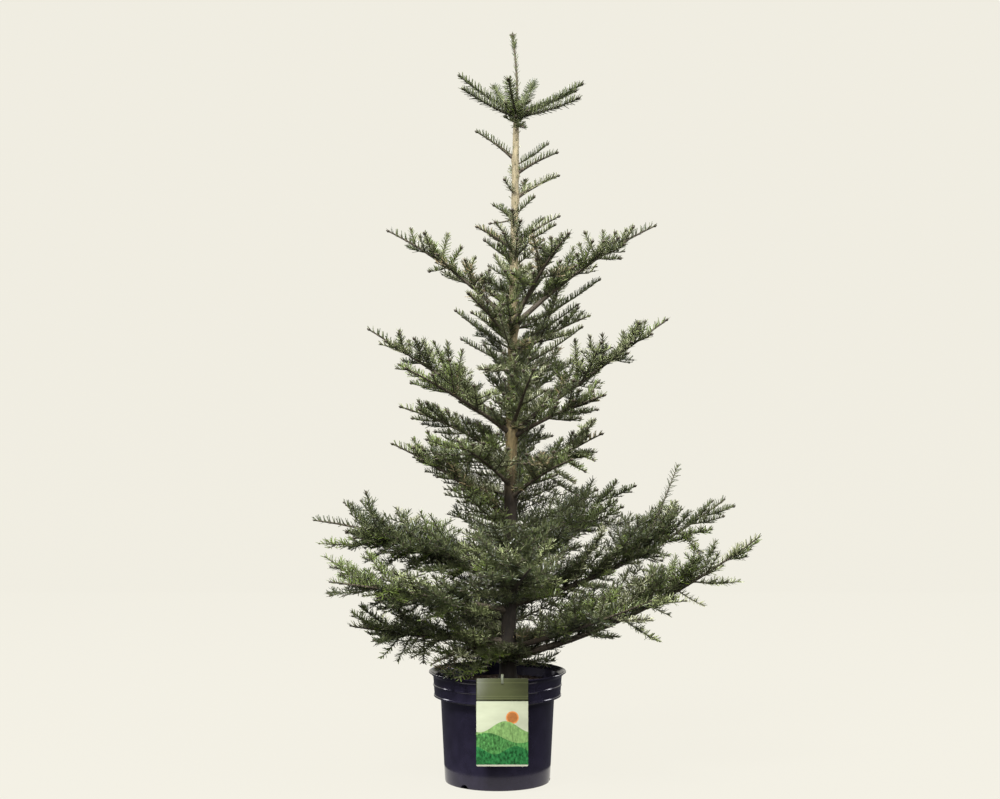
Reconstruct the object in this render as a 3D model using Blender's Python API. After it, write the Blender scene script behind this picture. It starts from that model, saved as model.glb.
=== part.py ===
"""Young fir in a nursery pot.

The trunk, the main boughs and the masses of foliage are separate closed solids.
So are the pot, the soil in it and the picture tag that hangs over its lip.
The origin is the centre of the pot's flat underside and +Z is up. Lengths are in
metres. An azimuth is in degrees: 0 is +X, 90 is +Y.
"""

import math
import random
from collections import namedtuple

import bmesh
import bpy
from mathutils import Vector

# Clearance between touching solids
GAP = 0.0003

# Pot, as radii and heights of its turned wall
POT_HEIGHT = 0.225
POT_BASE_RADIUS = 0.1073
POT_SHOULDER_RADIUS = 0.1156
POT_SHOULDER_HEIGHT = 0.170
COLLAR_LOW_RADIUS = 0.1285
COLLAR_TOP_RADIUS = 0.1313
COLLAR_TOP_HEIGHT = 0.2146
COLLAR_STEP = 0.006
LIP_RADIUS = 0.140
LIP_THICKNESS = 0.0035
WALL = 0.0022
FLOOR = 0.010
BASE_EDGE = 0.004
POT_SIDES = 32

# Drain notches round the pot's bottom edge
NOTCH_COUNT = 3
NOTCH_WIDTH = 0.018
NOTCH_HEIGHT = 0.008
NOTCH_DEPTH = 0.007
NOTCH_TURN = 112.0

# Soil in the pot
SOIL_TOP = 0.197

# Tag that hangs in front of the pot on a clip over the lip
TAG_WIDTH = 0.102
TAG_HEIGHT = 0.173
TAG_THICKNESS = 0.0012
TAG_TOP = 0.230
TAG_X = 0.0095
CLIP_WIDTH = 0.006
CLIP_THICKNESS = 0.0016
CLIP_TOP = 0.2365
CLIP_FOOT = 0.206
CLIP_FRONT_FOOT = 0.220
CLIP_INNER_Y = -0.1243

# Trunk: a slight lean to +X, a taper and a flare at its foot
TRUNK_TOP = 1.345
TRUNK_FOOT_X = 0.021
TRUNK_TOP_X = 0.038
TRUNK_SWAY = 0.003
TRUNK_FOOT_RADIUS = 0.0160
TRUNK_TOP_RADIUS = 0.0060
FLARE_RADIUS = 0.0065
FLARE_HEIGHT = 0.022
TRUNK_RINGS = 15
TRUNK_SIDES = 12
RING_CROWDING = 1.7

# Leader above the trunk's fork, with the whorl of shoots at its foot
LEADER_TOP = 1.533
LEADER_RADIUS = 0.0044
LEADER_TIP_RADIUS = 0.0026
LEADER_BEND = 0.0035
LEADER_TIP_X = 0.0286
LEADER_RINGS = 6
WHORL_HEIGHT = 0.014
WHORL_STEP = 0.007
WHORL_SHOOTS = 8
WHORL_NECK = 0.026
WHORL_TURN = 4.0
WHORL_REACH = 0.128
WHORL_EAST = 0.075
WHORL_RISE = 0.062
WHORL_BACK_RISE = 0.28
WHORL_REACH_RANGE = (0.93, 1.0)
WHORL_RISE_RANGE = (0.85, 1.05)
BUD_HEIGHT = 0.030
BUD_TURN = 70.0

# Limbs. A limb leaves the trunk at its foot height and runs out by its reach while
# it climbs by its rise. Its arch is the extra height at mid-run, its bare share is
# the bough up to the foliage, and 0 is a twig whose foliage starts at the trunk.
Limb = namedtuple("Limb", "name azimuth foot reach rise arch bare shoots shoot_length")

LIMBS = (
    Limb("low_right", 356, 0.252, 0.508, 0.247, -0.034, 0.20, 9, 0.175),
    Limb("low_left", 194, 0.285, 0.325, 0.040, -0.006, 0.22, 7, 0.160),
    Limb("low_front", 222, 0.276, 0.205, -0.020, 0.012, 0.34, 4, 0.105),
    Limb("low_front_right", 316, 0.270, 0.375, 0.125, -0.006, 0.22, 7, 0.155),
    Limb("low_back", 98, 0.265, 0.400, 0.090, -0.015, 0.22, 8, 0.165),
    Limb("wide_left", 176, 0.395, 0.402, 0.134, 0.022, 0.18, 8, 0.170),
    Limb("wide_right", 12, 0.360, 0.462, 0.208, -0.031, 0.18, 9, 0.185),
    Limb("wide_front_left", 210, 0.345, 0.400, 0.080, 0.004, 0.18, 8, 0.170),
    Limb("wide_front", 276, 0.380, 0.355, 0.085, 0.000, 0.20, 7, 0.165),
    Limb("wide_back_left", 142, 0.410, 0.385, 0.095, 0.010, 0.18, 8, 0.165),
    Limb("wide_back_right", 56, 0.400, 0.430, 0.190, -0.010, 0.18, 8, 0.180),
    Limb("mid_left_plain", 190, 0.531, 0.240, 0.156, 0.012, 0.40, 4, 0.095),
    Limb("mid_right", 354, 0.590, 0.185, 0.117, 0.008, 0.24, 5, 0.120),
    Limb("mid_left", 172, 0.655, 0.228, 0.107, 0.010, 0.00, 6, 0.115),
    Limb("mid_front_left", 240, 0.600, 0.195, 0.085, 0.008, 0.00, 6, 0.120),
    Limb("mid_front_right", 306, 0.575, 0.200, 0.085, 0.008, 0.00, 6, 0.120),
    Limb("mid_back", 80, 0.600, 0.230, 0.120, 0.008, 0.00, 6, 0.120),
    Limb("third_left", 180, 0.722, 0.290, 0.198, 0.005, 0.20, 7, 0.125),
    Limb("third_right", 2, 0.712, 0.317, 0.228, 0.000, 0.18, 8, 0.130),
    Limb("third_low_right", 328, 0.700, 0.215, 0.086, 0.006, 0.26, 5, 0.105),
    Limb("third_back_left", 138, 0.712, 0.225, 0.110, 0.006, 0.40, 5, 0.105),
    Limb("third_front_left", 216, 0.708, 0.255, 0.130, 0.006, 0.00, 6, 0.120),
    Limb("third_front", 282, 0.715, 0.200, 0.120, 0.006, 0.00, 5, 0.115),
    Limb("third_back", 66, 0.718, 0.260, 0.170, 0.006, 0.00, 6, 0.120),
    Limb("second_left", 182, 0.930, 0.253, 0.190, 0.017, 0.20, 6, 0.095),
    Limb("second_right", 357, 0.926, 0.287, 0.204, 0.018, 0.18, 7, 0.100),
    Limb("second_front", 298, 0.928, 0.225, 0.170, 0.015, 0.20, 6, 0.100),
    Limb("second_front_left", 238, 0.890, 0.165, 0.095, 0.006, 0.00, 4, 0.085),
    Limb("second_back", 92, 0.925, 0.225, 0.160, 0.015, 0.00, 6, 0.095),
    Limb("second_low_right", 18, 0.865, 0.165, 0.085, 0.006, 0.00, 4, 0.085),
    Limb("twig_left", 178, 1.267, 0.078, 0.057, 0.003, 0.00, 0, 0.040),
    Limb("twig_right", 350, 1.238, 0.084, 0.041, 0.003, 0.00, 0, 0.040),
    Limb("twig_back", 20, 1.188, 0.094, 0.050, 0.003, 0.00, 1, 0.050),
    Limb("twig_fork", 350, 1.094, 0.090, 0.055, 0.003, 0.00, 2, 0.060),
    Limb("twig_front_left", 202, 1.081, 0.080, 0.045, 0.003, 0.00, 2, 0.055),
)

LIMB_FOOT_RADIUS = 0.0030
LIMB_RADIUS_SHARE = 0.0105
LIMB_TIP_RADIUS = 0.0017
LIMB_TAPER_POWER = 0.8
BOUGH_SIDES = 6
BOUGH_RINGS = 3
STEM_SIDES = 3
STEM_RING_LENGTH = 0.055
STEM_END = 0.80
TWIG_STEM_END = 0.34
TWIG_REACH = 0.12

# Shoots: blades toothed like a comb of needles, folded up in a shallow V
NEEDLE_REACH = 0.0155
NEEDLE_LIFT = 0.0050
BLADE_CORE = 0.0024
BLADE_NECK = 0.0012
BLADE_KEEL = 0.0026
SPRAY_SHARE = 0.30
TOOTH_PITCH = 0.031
MOST_TEETH = 4
TOOTH_SWEEP = 0.85
BLADE_TAPER = 0.45
TIP_PITCHES = 0.6
ROOT_LIFT = 0.3
SHOOT_ANGLE = 50.0
SHOOT_ANGLE_SPREAD = 9.0
UPPER_LIFT = (0.40, 0.95)
LOWER_LIFT = (-0.30, 0.20)
SHOOT_SPAN = 0.90
SHOOT_TAPER = 0.50
SHOOT_LENGTH_SPREAD = 0.15
SHOOT_ROLL = 35.0
SHORTEST_SHOOT = 0.030
FIRST_SHOOT = 0.04
END_OVERLAP = 0.03
SPACE_MARGIN = 0.0025
TRUNK_MARGIN = 0.004
POT_MARGIN = 0.006
AXIS_STEPS = 16
SHRINK = 0.8
SEED = 2412

UP = Vector((0.0, 0.0, 1.0))
STEEP = 0.95
CORE_ORDER = ("ridge", "left", "keel", "right")
Shoot = namedtuple("Shoot", "base direction length roll neck spread", defaults=(0.0, NEEDLE_REACH))
Material = namedtuple("Material", "colour roughness metallic")
MATERIALS = {
    "bark": Material((0.085, 0.070, 0.042), 0.80, 0.0),
    "bough_bark": Material((0.120, 0.092, 0.055), 0.78, 0.0),
    "needles": Material((0.055, 0.085, 0.028), 0.55, 0.0),
    "pot_plastic": Material((0.018, 0.016, 0.026), 0.22, 0.0),
    "soil": Material((0.020, 0.014, 0.011), 0.95, 0.0),
    "tag_card": Material((0.780, 0.800, 0.640), 0.30, 0.0),
}


def clear_scene():
    """Remove every object that the scene starts with."""
    for thing in list(bpy.data.objects):
        bpy.data.objects.remove(thing, do_unlink=True)


def make_material(name):
    """A Principled BSDF with the part's own colour, roughness and metallic value."""
    values = MATERIALS[name]
    material = bpy.data.materials.get(name) or bpy.data.materials.new(name)
    material.use_nodes = True
    shader = material.node_tree.nodes["Principled BSDF"]
    shader.inputs["Base Color"].default_value = (*values.colour, 1.0)
    shader.inputs["Roughness"].default_value = values.roughness
    shader.inputs["Metallic"].default_value = values.metallic
    return material


def add_object(name, bm, material):
    """Turn a bmesh into a named object in the scene."""
    bmesh.ops.recalc_face_normals(bm, faces=bm.faces)
    mesh = bpy.data.meshes.new(name)
    bm.to_mesh(mesh)
    bm.free()
    mesh.materials.append(make_material(material))
    thing = bpy.data.objects.new(name, mesh)
    bpy.context.scene.collection.objects.link(thing)
    return thing


def apply_boolean(target, operation, others):
    """Join or cut the target with other objects, then remove them."""
    group = bpy.data.collections.new(target.name + "_operands")
    bpy.context.scene.collection.children.link(group)
    for thing in others:
        group.objects.link(thing)
    modifier = target.modifiers.new("boolean", "BOOLEAN")
    modifier.operation = operation
    modifier.operand_type = "COLLECTION"
    modifier.collection = group
    modifier.solver = "EXACT"
    depsgraph = bpy.context.evaluated_depsgraph_get()
    result = bpy.data.meshes.new_from_object(target.evaluated_get(depsgraph))
    target.modifiers.clear()
    target.data = result
    for thing in list(group.objects):
        bpy.data.objects.remove(thing, do_unlink=True)
    bpy.data.collections.remove(group)


def keep_largest_shell(thing):
    """Drop loose scraps and fill sealed hollows: only the largest shell stays."""
    bm = bmesh.new()
    bm.from_mesh(thing.data)
    bmesh.ops.triangulate(bm, faces=bm.faces)
    shells = []
    unseen = set(bm.faces)
    while unseen:
        front = [unseen.pop()]
        shell = list(front)
        while front:
            face = front.pop()
            for edge in face.edges:
                for other in edge.link_faces:
                    if other in unseen:
                        unseen.remove(other)
                        front.append(other)
                        shell.append(other)
        shells.append(shell)
    shells.sort(key=shell_size, reverse=True)
    scraps = [face for shell in shells[1:] for face in shell]
    bmesh.ops.delete(bm, geom=scraps, context="FACES")
    bm.to_mesh(thing.data)
    bm.free()


def shell_size(shell):
    """Diagonal of a shell's box."""
    corners = [vertex.co for face in shell for vertex in face.verts]
    spans = [max(values) - min(values) for values in zip(*corners)]
    return Vector(spans).length


def turned_solid(name, profile, sides, material):
    """Spin an outline of (radius, height) points that starts and ends on the Z axis."""
    bm = bmesh.new()
    foot = bm.verts.new((0.0, 0.0, profile[0][1]))
    crown = bm.verts.new((0.0, 0.0, profile[-1][1]))
    rings = []
    for radius, height in profile[1:-1]:
        ring = []
        for side in range(sides):
            angle = math.tau * side / sides
            ring.append(bm.verts.new((radius * math.cos(angle), radius * math.sin(angle), height)))
        rings.append(ring)
    for side in range(sides):
        following = (side + 1) % sides
        bm.faces.new((foot, rings[0][following], rings[0][side]))
        bm.faces.new((crown, rings[-1][side], rings[-1][following]))
        for low, high in zip(rings, rings[1:]):
            bm.faces.new((low[side], low[following], high[following], high[side]))
    return add_object(name, bm, material)


def box_solid(name, low, high, material):
    """A box between two corners."""
    bm = bmesh.new()
    bmesh.ops.create_cube(bm, size=1.0)
    for vertex in bm.verts:
        vertex.co = Vector([low[axis] if vertex.co[axis] < 0.0 else high[axis] for axis in range(3)])
    return add_object(name, bm, material)


def inner_radius(height):
    """Radius of the pot's inner wall at a height."""
    if height < POT_SHOULDER_HEIGHT:
        share = height / POT_SHOULDER_HEIGHT
        return POT_BASE_RADIUS + (POT_SHOULDER_RADIUS - POT_BASE_RADIUS) * share - WALL
    step_top = POT_SHOULDER_HEIGHT + COLLAR_STEP
    share = (height - step_top) / (COLLAR_TOP_HEIGHT - step_top)
    return COLLAR_LOW_RADIUS + (COLLAR_TOP_RADIUS - COLLAR_LOW_RADIUS) * share - WALL


def build_pot():
    """The pot: tapering body, stepped collar, flared lip, and a floor with foot notches."""
    step_top = POT_SHOULDER_HEIGHT + COLLAR_STEP
    inner_shoulder = POT_SHOULDER_HEIGHT + WALL
    outline = [
        (0.0, 0.0),
        (POT_BASE_RADIUS - BASE_EDGE, 0.0),
        (POT_BASE_RADIUS, BASE_EDGE),
        (POT_SHOULDER_RADIUS, POT_SHOULDER_HEIGHT),
        (COLLAR_LOW_RADIUS, step_top),
        (COLLAR_TOP_RADIUS, COLLAR_TOP_HEIGHT),
        (LIP_RADIUS, POT_HEIGHT - LIP_THICKNESS),
        (LIP_RADIUS, POT_HEIGHT),
        (COLLAR_TOP_RADIUS, POT_HEIGHT),
        (COLLAR_TOP_RADIUS - WALL, COLLAR_TOP_HEIGHT),
        (COLLAR_LOW_RADIUS - WALL, step_top + WALL),
        (inner_radius(POT_SHOULDER_HEIGHT - WALL), inner_shoulder),
        (inner_radius(FLOOR), FLOOR),
        (0.0, FLOOR),
    ]
    pot = turned_solid("pot", outline, POT_SIDES, "pot_plastic")
    notches = []
    for index in range(NOTCH_COUNT):
        angle = math.radians(NOTCH_TURN) + math.tau * index / NOTCH_COUNT
        notch = box_solid(
            "notch",
            (POT_BASE_RADIUS - NOTCH_DEPTH, -NOTCH_WIDTH / 2, -NOTCH_HEIGHT),
            (POT_BASE_RADIUS + NOTCH_DEPTH, NOTCH_WIDTH / 2, NOTCH_HEIGHT),
            "pot_plastic",
        )
        notch.rotation_euler.z = angle
        notches.append(notch)
    apply_boolean(pot, "DIFFERENCE", notches)
    keep_largest_shell(pot)
    return pot


def build_soil():
    """The root ball in the pot, as a plug that fills it up to the soil's surface."""
    step_top = POT_SHOULDER_HEIGHT + COLLAR_STEP
    outline = [
        (0.0, FLOOR + GAP),
        (inner_radius(FLOOR) - 2 * GAP, FLOOR + GAP),
        (inner_radius(POT_SHOULDER_HEIGHT - WALL) - 2 * GAP, POT_SHOULDER_HEIGHT + WALL + GAP),
        (COLLAR_LOW_RADIUS - WALL - 2 * GAP, step_top + WALL + 2 * GAP),
        (inner_radius(SOIL_TOP) - 2 * GAP, SOIL_TOP),
        (0.0, SOIL_TOP),
    ]
    return turned_solid("soil", outline, POT_SIDES, "soil")


def build_tag():
    """A flat card with a clip that goes over the lip of the pot."""
    back = -(LIP_RADIUS + GAP)
    front = back - TAG_THICKNESS
    left = TAG_X - TAG_WIDTH / 2
    right = TAG_X + TAG_WIDTH / 2
    clip_left = TAG_X - CLIP_WIDTH / 2
    clip_right = TAG_X + CLIP_WIDTH / 2
    clip_front = front - CLIP_THICKNESS
    tag = box_solid("plant_tag", (left, front, TAG_TOP - TAG_HEIGHT), (right, back, TAG_TOP), "tag_card")
    bridge = box_solid(
        "bridge",
        (clip_left, clip_front, POT_HEIGHT + GAP),
        (clip_right, CLIP_INNER_Y, CLIP_TOP),
        "tag_card",
    )
    outer_leg = box_solid(
        "outer_leg",
        (clip_left, clip_front, CLIP_FRONT_FOOT),
        (clip_right, (front + back) / 2, POT_HEIGHT + 2 * GAP),
        "tag_card",
    )
    inner_leg = box_solid(
        "inner_leg",
        (clip_left, CLIP_INNER_Y - CLIP_THICKNESS, CLIP_FOOT),
        (clip_right, CLIP_INNER_Y, POT_HEIGHT + 2 * GAP),
        "tag_card",
    )
    apply_boolean(tag, "UNION", [bridge, outer_leg, inner_leg])
    keep_largest_shell(tag)
    return tag


def trunk_share(height):
    """Share of the trunk's length below a height."""
    return (height - SOIL_TOP) / (TRUNK_TOP - SOIL_TOP)


def trunk_centre(height):
    """Centre of the trunk at a height."""
    share = trunk_share(height)
    lean = TRUNK_FOOT_X + (TRUNK_TOP_X - TRUNK_FOOT_X) * share
    return Vector((lean, TRUNK_SWAY * math.sin(math.tau * share), height))


def trunk_radius(height):
    """Radius of the trunk at a height, with the flare at its foot."""
    share = trunk_share(height)
    taper = TRUNK_FOOT_RADIUS + (TRUNK_TOP_RADIUS - TRUNK_FOOT_RADIUS) * share
    return taper + FLARE_RADIUS * math.exp(-(height - SOIL_TOP) / FLARE_HEIGHT)


def build_trunk(name, clearance):
    """The trunk, or the same shape grown by a clearance, which cuts the limbs' feet."""
    bm = bmesh.new()
    rings = []
    foot = SOIL_TOP + GAP - clearance
    for index in range(TRUNK_RINGS):
        share = (index / (TRUNK_RINGS - 1)) ** RING_CROWDING
        height = foot + (TRUNK_TOP + clearance - foot) * share
        centre = trunk_centre(height)
        radius = trunk_radius(height) + clearance
        ring = []
        for side in range(TRUNK_SIDES):
            angle = math.tau * side / TRUNK_SIDES
            offset = Vector((math.cos(angle), math.sin(angle), 0.0)) * radius
            ring.append(bm.verts.new(centre + offset))
        rings.append(ring)
    join_rings(bm, rings)
    return add_object(name, bm, "bark")


def join_rings(bm, rings):
    """Skin a row of rings and close both ends."""
    for low, high in zip(rings, rings[1:]):
        for side in range(len(low)):
            following = (side + 1) % len(low)
            bm.faces.new((low[side], low[following], high[following], high[side]))
    bm.faces.new(list(reversed(rings[0])))
    bm.faces.new(rings[-1])


def across(tangent):
    """Two directions square to a tangent: one level, one upward."""
    reference = UP if abs(tangent.z) < STEEP else Vector((1.0, 0.0, 0.0))
    level = tangent.cross(reference).normalized()
    return level, level.cross(tangent).normalized()


def add_tube(bm, points, tangents, radii, sides):
    """A tapering limb through points, with flat ends square to its run."""
    rings = []
    for point, tangent, radius in zip(points, tangents, radii):
        level, upward = across(tangent)
        ring = []
        for side in range(sides):
            angle = math.tau * (side + 0.5) / sides
            offset = level * math.cos(angle) + upward * math.sin(angle)
            ring.append(bm.verts.new(point + offset * radius))
        rings.append(ring)
    join_rings(bm, rings)


def limb_point(limb, share):
    """Centre of a limb at a share of its reach, counted from the trunk's centre."""
    azimuth = math.radians(limb.azimuth)
    outward = Vector((math.cos(azimuth), math.sin(azimuth), 0.0))
    climb = limb.rise * share + 4.0 * limb.arch * share * (1.0 - share)
    return trunk_centre(limb.foot) + outward * (limb.reach * share) + UP * climb


def limb_tangent(limb, share):
    """Direction of a limb's run at a share of its reach."""
    step = 0.001
    return (limb_point(limb, share + step) - limb_point(limb, share - step)).normalized()


def limb_radius(limb, share):
    """Radius of a limb: it tapers from its foot to its tip."""
    foot = LIMB_FOOT_RADIUS + LIMB_RADIUS_SHARE * limb.reach
    return foot + (LIMB_TIP_RADIUS - foot) * min(share, 1.0) ** LIMB_TAPER_POWER


def stem_end(limb):
    """Share of the reach at which the stem ends and the end shoot takes over."""
    return TWIG_STEM_END if limb.reach < TWIG_REACH else STEM_END


def limb_shares(first, last, count):
    """Evenly spaced shares of a limb's reach."""
    return [first + (last - first) * index / (count - 1) for index in range(count)]


def add_limb_tube(bm, limb, first, last, count, sides):
    """The stretch of a limb between two shares of its reach."""
    shares = limb_shares(first, last, count)
    points = [limb_point(limb, share) for share in shares]
    tangents = [limb_tangent(limb, share) for share in shares]
    radii = [limb_radius(limb, share) for share in shares]
    add_tube(bm, points, tangents, radii, sides)


def cut_to_trunk(thing):
    """Shape a limb's foot to the trunk, with the clearance between them."""
    apply_boolean(thing, "DIFFERENCE", [build_trunk("trunk_clearance", GAP)])
    keep_largest_shell(thing)


def build_bough(limb):
    """One main bough, from the trunk to where it enters its foliage."""
    bm = bmesh.new()
    add_limb_tube(bm, limb, 0.0, limb.bare, BOUGH_RINGS, BOUGH_SIDES)
    bough = add_object("bough_" + limb.name, bm, "bough_bark")
    cut_to_trunk(bough)
    return bough


def shoot_teeth(length):
    """Number of pairs of teeth along a shoot."""
    return max(2, min(MOST_TEETH, round(length / TOOTH_PITCH)))


def blade_points(shoot):
    """Rows of points of a toothed blade: ridge, keel, both roots and both tips of its teeth."""
    level, upward = across(shoot.direction)
    wing = level * math.cos(shoot.roll) + upward * math.sin(shoot.roll)
    fold = upward * math.cos(shoot.roll) - level * math.sin(shoot.roll)
    teeth = shoot_teeth(shoot.length - shoot.neck)
    pitch = (shoot.length - shoot.neck) / (teeth + TIP_PITCHES)
    rows = []
    for tooth in range(teeth + 1):
        along = shoot.base + shoot.direction * (shoot.neck + pitch * tooth)
        core = BLADE_NECK if tooth == 0 else BLADE_CORE
        keel = BLADE_NECK if tooth == 0 else BLADE_KEEL
        spread = shoot.spread * (1.0 - BLADE_TAPER * (tooth / teeth) ** 2)
        lift = NEEDLE_LIFT * spread / NEEDLE_REACH
        tip = along + shoot.direction * (pitch * TOOTH_SWEEP) + fold * lift
        rows.append(
            {
                "ridge": along,
                "keel": along - fold * keel,
                "left": along - wing * core + fold * core * ROOT_LIFT,
                "right": along + wing * core + fold * core * ROOT_LIFT,
                "tip_left": tip - wing * spread,
                "tip_right": tip + wing * spread,
            }
        )
    return rows, shoot.base + shoot.direction * shoot.length


def add_blade(bm, shoot):
    """A shoot as one closed blade with a pair of swept teeth at each step."""
    rows, apex_point = blade_points(shoot)
    rings = []
    for row in rows[:-1]:
        rings.append({part: bm.verts.new(point) for part, point in row.items()})
    last = {part: bm.verts.new(rows[-1][part]) for part in CORE_ORDER}
    rings.append(last)
    apex = bm.verts.new(apex_point)
    for row, following in zip(rings, rings[1:]):
        for middle in ("ridge", "keel"):
            for side in ("left", "right"):
                tip = row["tip_" + side]
                bm.faces.new((row[middle], row[side], tip))
                bm.faces.new((row[middle], tip, following[middle]))
                bm.faces.new((following[middle], tip, following[side]))
    first = [rings[0][part] for part in CORE_ORDER]
    if shoot.neck:
        root = [bm.verts.new(vertex.co - shoot.direction * shoot.neck) for vertex in first]
        for side in range(len(CORE_ORDER)):
            following = (side + 1) % len(CORE_ORDER)
            bm.faces.new((root[side], root[following], first[following], first[side]))
        first = root
    bm.faces.new(first)
    for middle in ("ridge", "keel"):
        for side in ("left", "right"):
            bm.faces.new((last[middle], last[side], apex))


def segments_of(limb):
    """A limb's axis as short segments, from the trunk's centre to the tip."""
    points = [limb_point(limb, index / AXIS_STEPS) for index in range(AXIS_STEPS + 1)]
    return list(zip(points, points[1:]))


def segment_distance(point, start, end):
    """Distance from a point to a segment."""
    run = end - start
    share = max(0.0, min(1.0, (point - start).dot(run) / run.length_squared))
    return (point - start - run * share).length


def axis_distance(point, segments):
    """Distance from a point to a limb's axis."""
    return min(segment_distance(point, start, end) for start, end in segments)


def whorl_shoots(generator):
    """The whorl of shoots round the leader's foot."""
    shoots = []
    for index in range(WHORL_SHOOTS):
        azimuth = math.radians(WHORL_TURN) + math.tau * index / WHORL_SHOOTS
        reach = WHORL_REACH * (1.0 + WHORL_EAST * math.cos(azimuth))
        reach *= generator.uniform(*WHORL_REACH_RANGE)
        rise = WHORL_RISE * (1.0 + WHORL_BACK_RISE * math.sin(azimuth))
        rise *= generator.uniform(*WHORL_RISE_RANGE)
        height = TRUNK_TOP + WHORL_HEIGHT + WHORL_STEP * (index % 2)
        run = Vector((reach * math.cos(azimuth), reach * math.sin(azimuth), rise))
        roll = math.radians(generator.uniform(-SHOOT_ROLL, SHOOT_ROLL))
        shoots.append(Shoot(leader_centre(height), run.normalized(), run.length, roll, WHORL_NECK))
    return shoots


def leader_centre(height):
    """Centre of the leader at a height: it bends over to -X towards its tip."""
    share = (height - TRUNK_TOP) / (LEADER_TOP - TRUNK_TOP)
    foot = trunk_centre(TRUNK_TOP)
    sway = LEADER_BEND * math.sin(math.pi * share)
    x = foot.x + (LEADER_TIP_X - foot.x) * share ** 2 + sway
    return Vector((x, foot.y, height))


def build_top():
    """The mass at the top: the leader, its whorl of shoots and the tuft at its tip."""
    generator = random.Random(SEED)
    bm = bmesh.new()
    stem_top = LEADER_TOP - BUD_HEIGHT / 2
    foot = TRUNK_TOP + GAP
    heights = [foot + (stem_top - foot) * index / (LEADER_RINGS - 1) for index in range(LEADER_RINGS)]
    points = [leader_centre(height) for height in heights]
    tangents = [UP] * LEADER_RINGS
    radii = [
        LEADER_RADIUS + (LEADER_TIP_RADIUS - LEADER_RADIUS) * index / (LEADER_RINGS - 1)
        for index in range(LEADER_RINGS)
    ]
    add_tube(bm, points, tangents, radii, BOUGH_SIDES)
    stem = add_object("foliage_top", bm, "needles")
    shoots = whorl_shoots(generator)
    for turn in (0.0, BUD_TURN):
        base = leader_centre(stem_top - BUD_HEIGHT)
        run = leader_centre(LEADER_TOP) - base
        shoots.append(Shoot(base, run.normalized(), run.length, math.radians(turn)))
    join_shoots(stem, shoots)
    return stem


def limb_shoots(limb, generator):
    """The shoots of one mass: pairs along its stem that rise and point forward."""
    shoots = []
    for index in range(limb.shoots):
        along = (index + 0.5) / limb.shoots * SHOOT_SPAN
        first = limb.bare + FIRST_SHOOT
        share = first + (stem_end(limb) - first) * along
        side = 1.0 if index % 2 else -1.0
        angle = math.radians(SHOOT_ANGLE + generator.uniform(-SHOOT_ANGLE_SPREAD, SHOOT_ANGLE_SPREAD))
        lift = generator.uniform(*(LOWER_LIFT if (index // 2 + index) % 2 else UPPER_LIFT))
        change = generator.uniform(-SHOOT_LENGTH_SPREAD, SHOOT_LENGTH_SPREAD)
        roll = math.radians(generator.uniform(-SHOOT_ROLL, SHOOT_ROLL))
        tangent = limb_tangent(limb, share)
        level, upward = across(tangent)
        run = tangent * math.cos(angle) + level * (side * math.sin(angle)) + UP * lift
        length = limb.shoot_length * (1.0 - SHOOT_TAPER * along) * (1.0 + change)
        spread = max(NEEDLE_REACH, SPRAY_SHARE * length)
        shoots.append(Shoot(limb_point(limb, share), run.normalized(), length, roll, 0.0, spread))
    return shoots


def end_shoot(limb, generator):
    """The shoot that carries a limb on to its tip."""
    base = limb_point(limb, stem_end(limb) - END_OVERLAP)
    run = limb_point(limb, 1.0) - base
    roll = math.radians(generator.uniform(-SHOOT_ROLL, SHOOT_ROLL))
    return Shoot(base, run.normalized(), run.length, roll)


def fits(shoot, own, others):
    """Whether a shoot keeps to its own mass's space and clear of trunk and pot."""
    rows, apex = blade_points(shoot)
    samples = [apex]
    for row in rows[1:]:
        samples.append(row["ridge"])
        samples.append(row["keel"])
    for row in rows[:-1]:
        samples.append(row["tip_left"])
        samples.append(row["tip_right"])
        samples.append((row["tip_left"] + row["ridge"]) / 2)
        samples.append((row["tip_right"] + row["ridge"]) / 2)
    for point in samples:
        if math.hypot(point.x, point.y) < LIP_RADIUS + POT_MARGIN and point.z < POT_HEIGHT + POT_MARGIN:
            return False
        if point.z < TRUNK_TOP:
            centre = trunk_centre(point.z)
            if (point - centre).length < trunk_radius(point.z) + TRUNK_MARGIN:
                return False
        own_distance = axis_distance(point, own)
        if any(axis_distance(point, other) < own_distance + SPACE_MARGIN for other in others):
            return False
    return True


def join_shoots(stem, shoots):
    """Fuse shoots to their stem with one Boolean union."""
    blades = []
    for shoot in shoots:
        bm = bmesh.new()
        add_blade(bm, shoot)
        blades.append(add_object("blade", bm, "needles"))
    apply_boolean(stem, "UNION", blades)
    keep_largest_shell(stem)


def build_foliage(limb, seed):
    """One mass of foliage: its stem goes on from the bough or starts at the trunk."""
    generator = random.Random(seed)
    own = segments_of(limb)
    others = [segments_of(other) for other in LIMBS if other is not limb]
    first = limb.bare + GAP / limb.reach if limb.bare else 0.0
    last = stem_end(limb)
    rings = max(3, round(limb.reach * (last - first) / STEM_RING_LENGTH) + 1)
    bm = bmesh.new()
    add_limb_tube(bm, limb, first, last, rings, STEM_SIDES)
    stem = add_object("foliage_" + limb.name, bm, "needles")
    if not limb.bare:
        cut_to_trunk(stem)
    shoots = [end_shoot(limb, generator)]
    for shoot in limb_shoots(limb, generator):
        while shoot.length > SHORTEST_SHOOT and not fits(shoot, own, others):
            shorter = shoot.length * SHRINK
            narrower = max(NEEDLE_REACH, shoot.spread * SHRINK)
            shoot = shoot._replace(length=shorter, spread=narrower)
        if shoot.length > SHORTEST_SHOOT:
            shoots.append(shoot)
    join_shoots(stem, shoots)
    return stem


def build_plant():
    """Trunk, boughs and masses of foliage."""
    build_trunk("trunk", 0.0)
    for index, limb in enumerate(LIMBS):
        if limb.bare:
            build_bough(limb)
        build_foliage(limb, SEED + 1 + index)
    build_top()


def main():
    """Build every solid."""
    clear_scene()
    build_pot()
    build_soil()
    build_tag()
    build_plant()


main()
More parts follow.
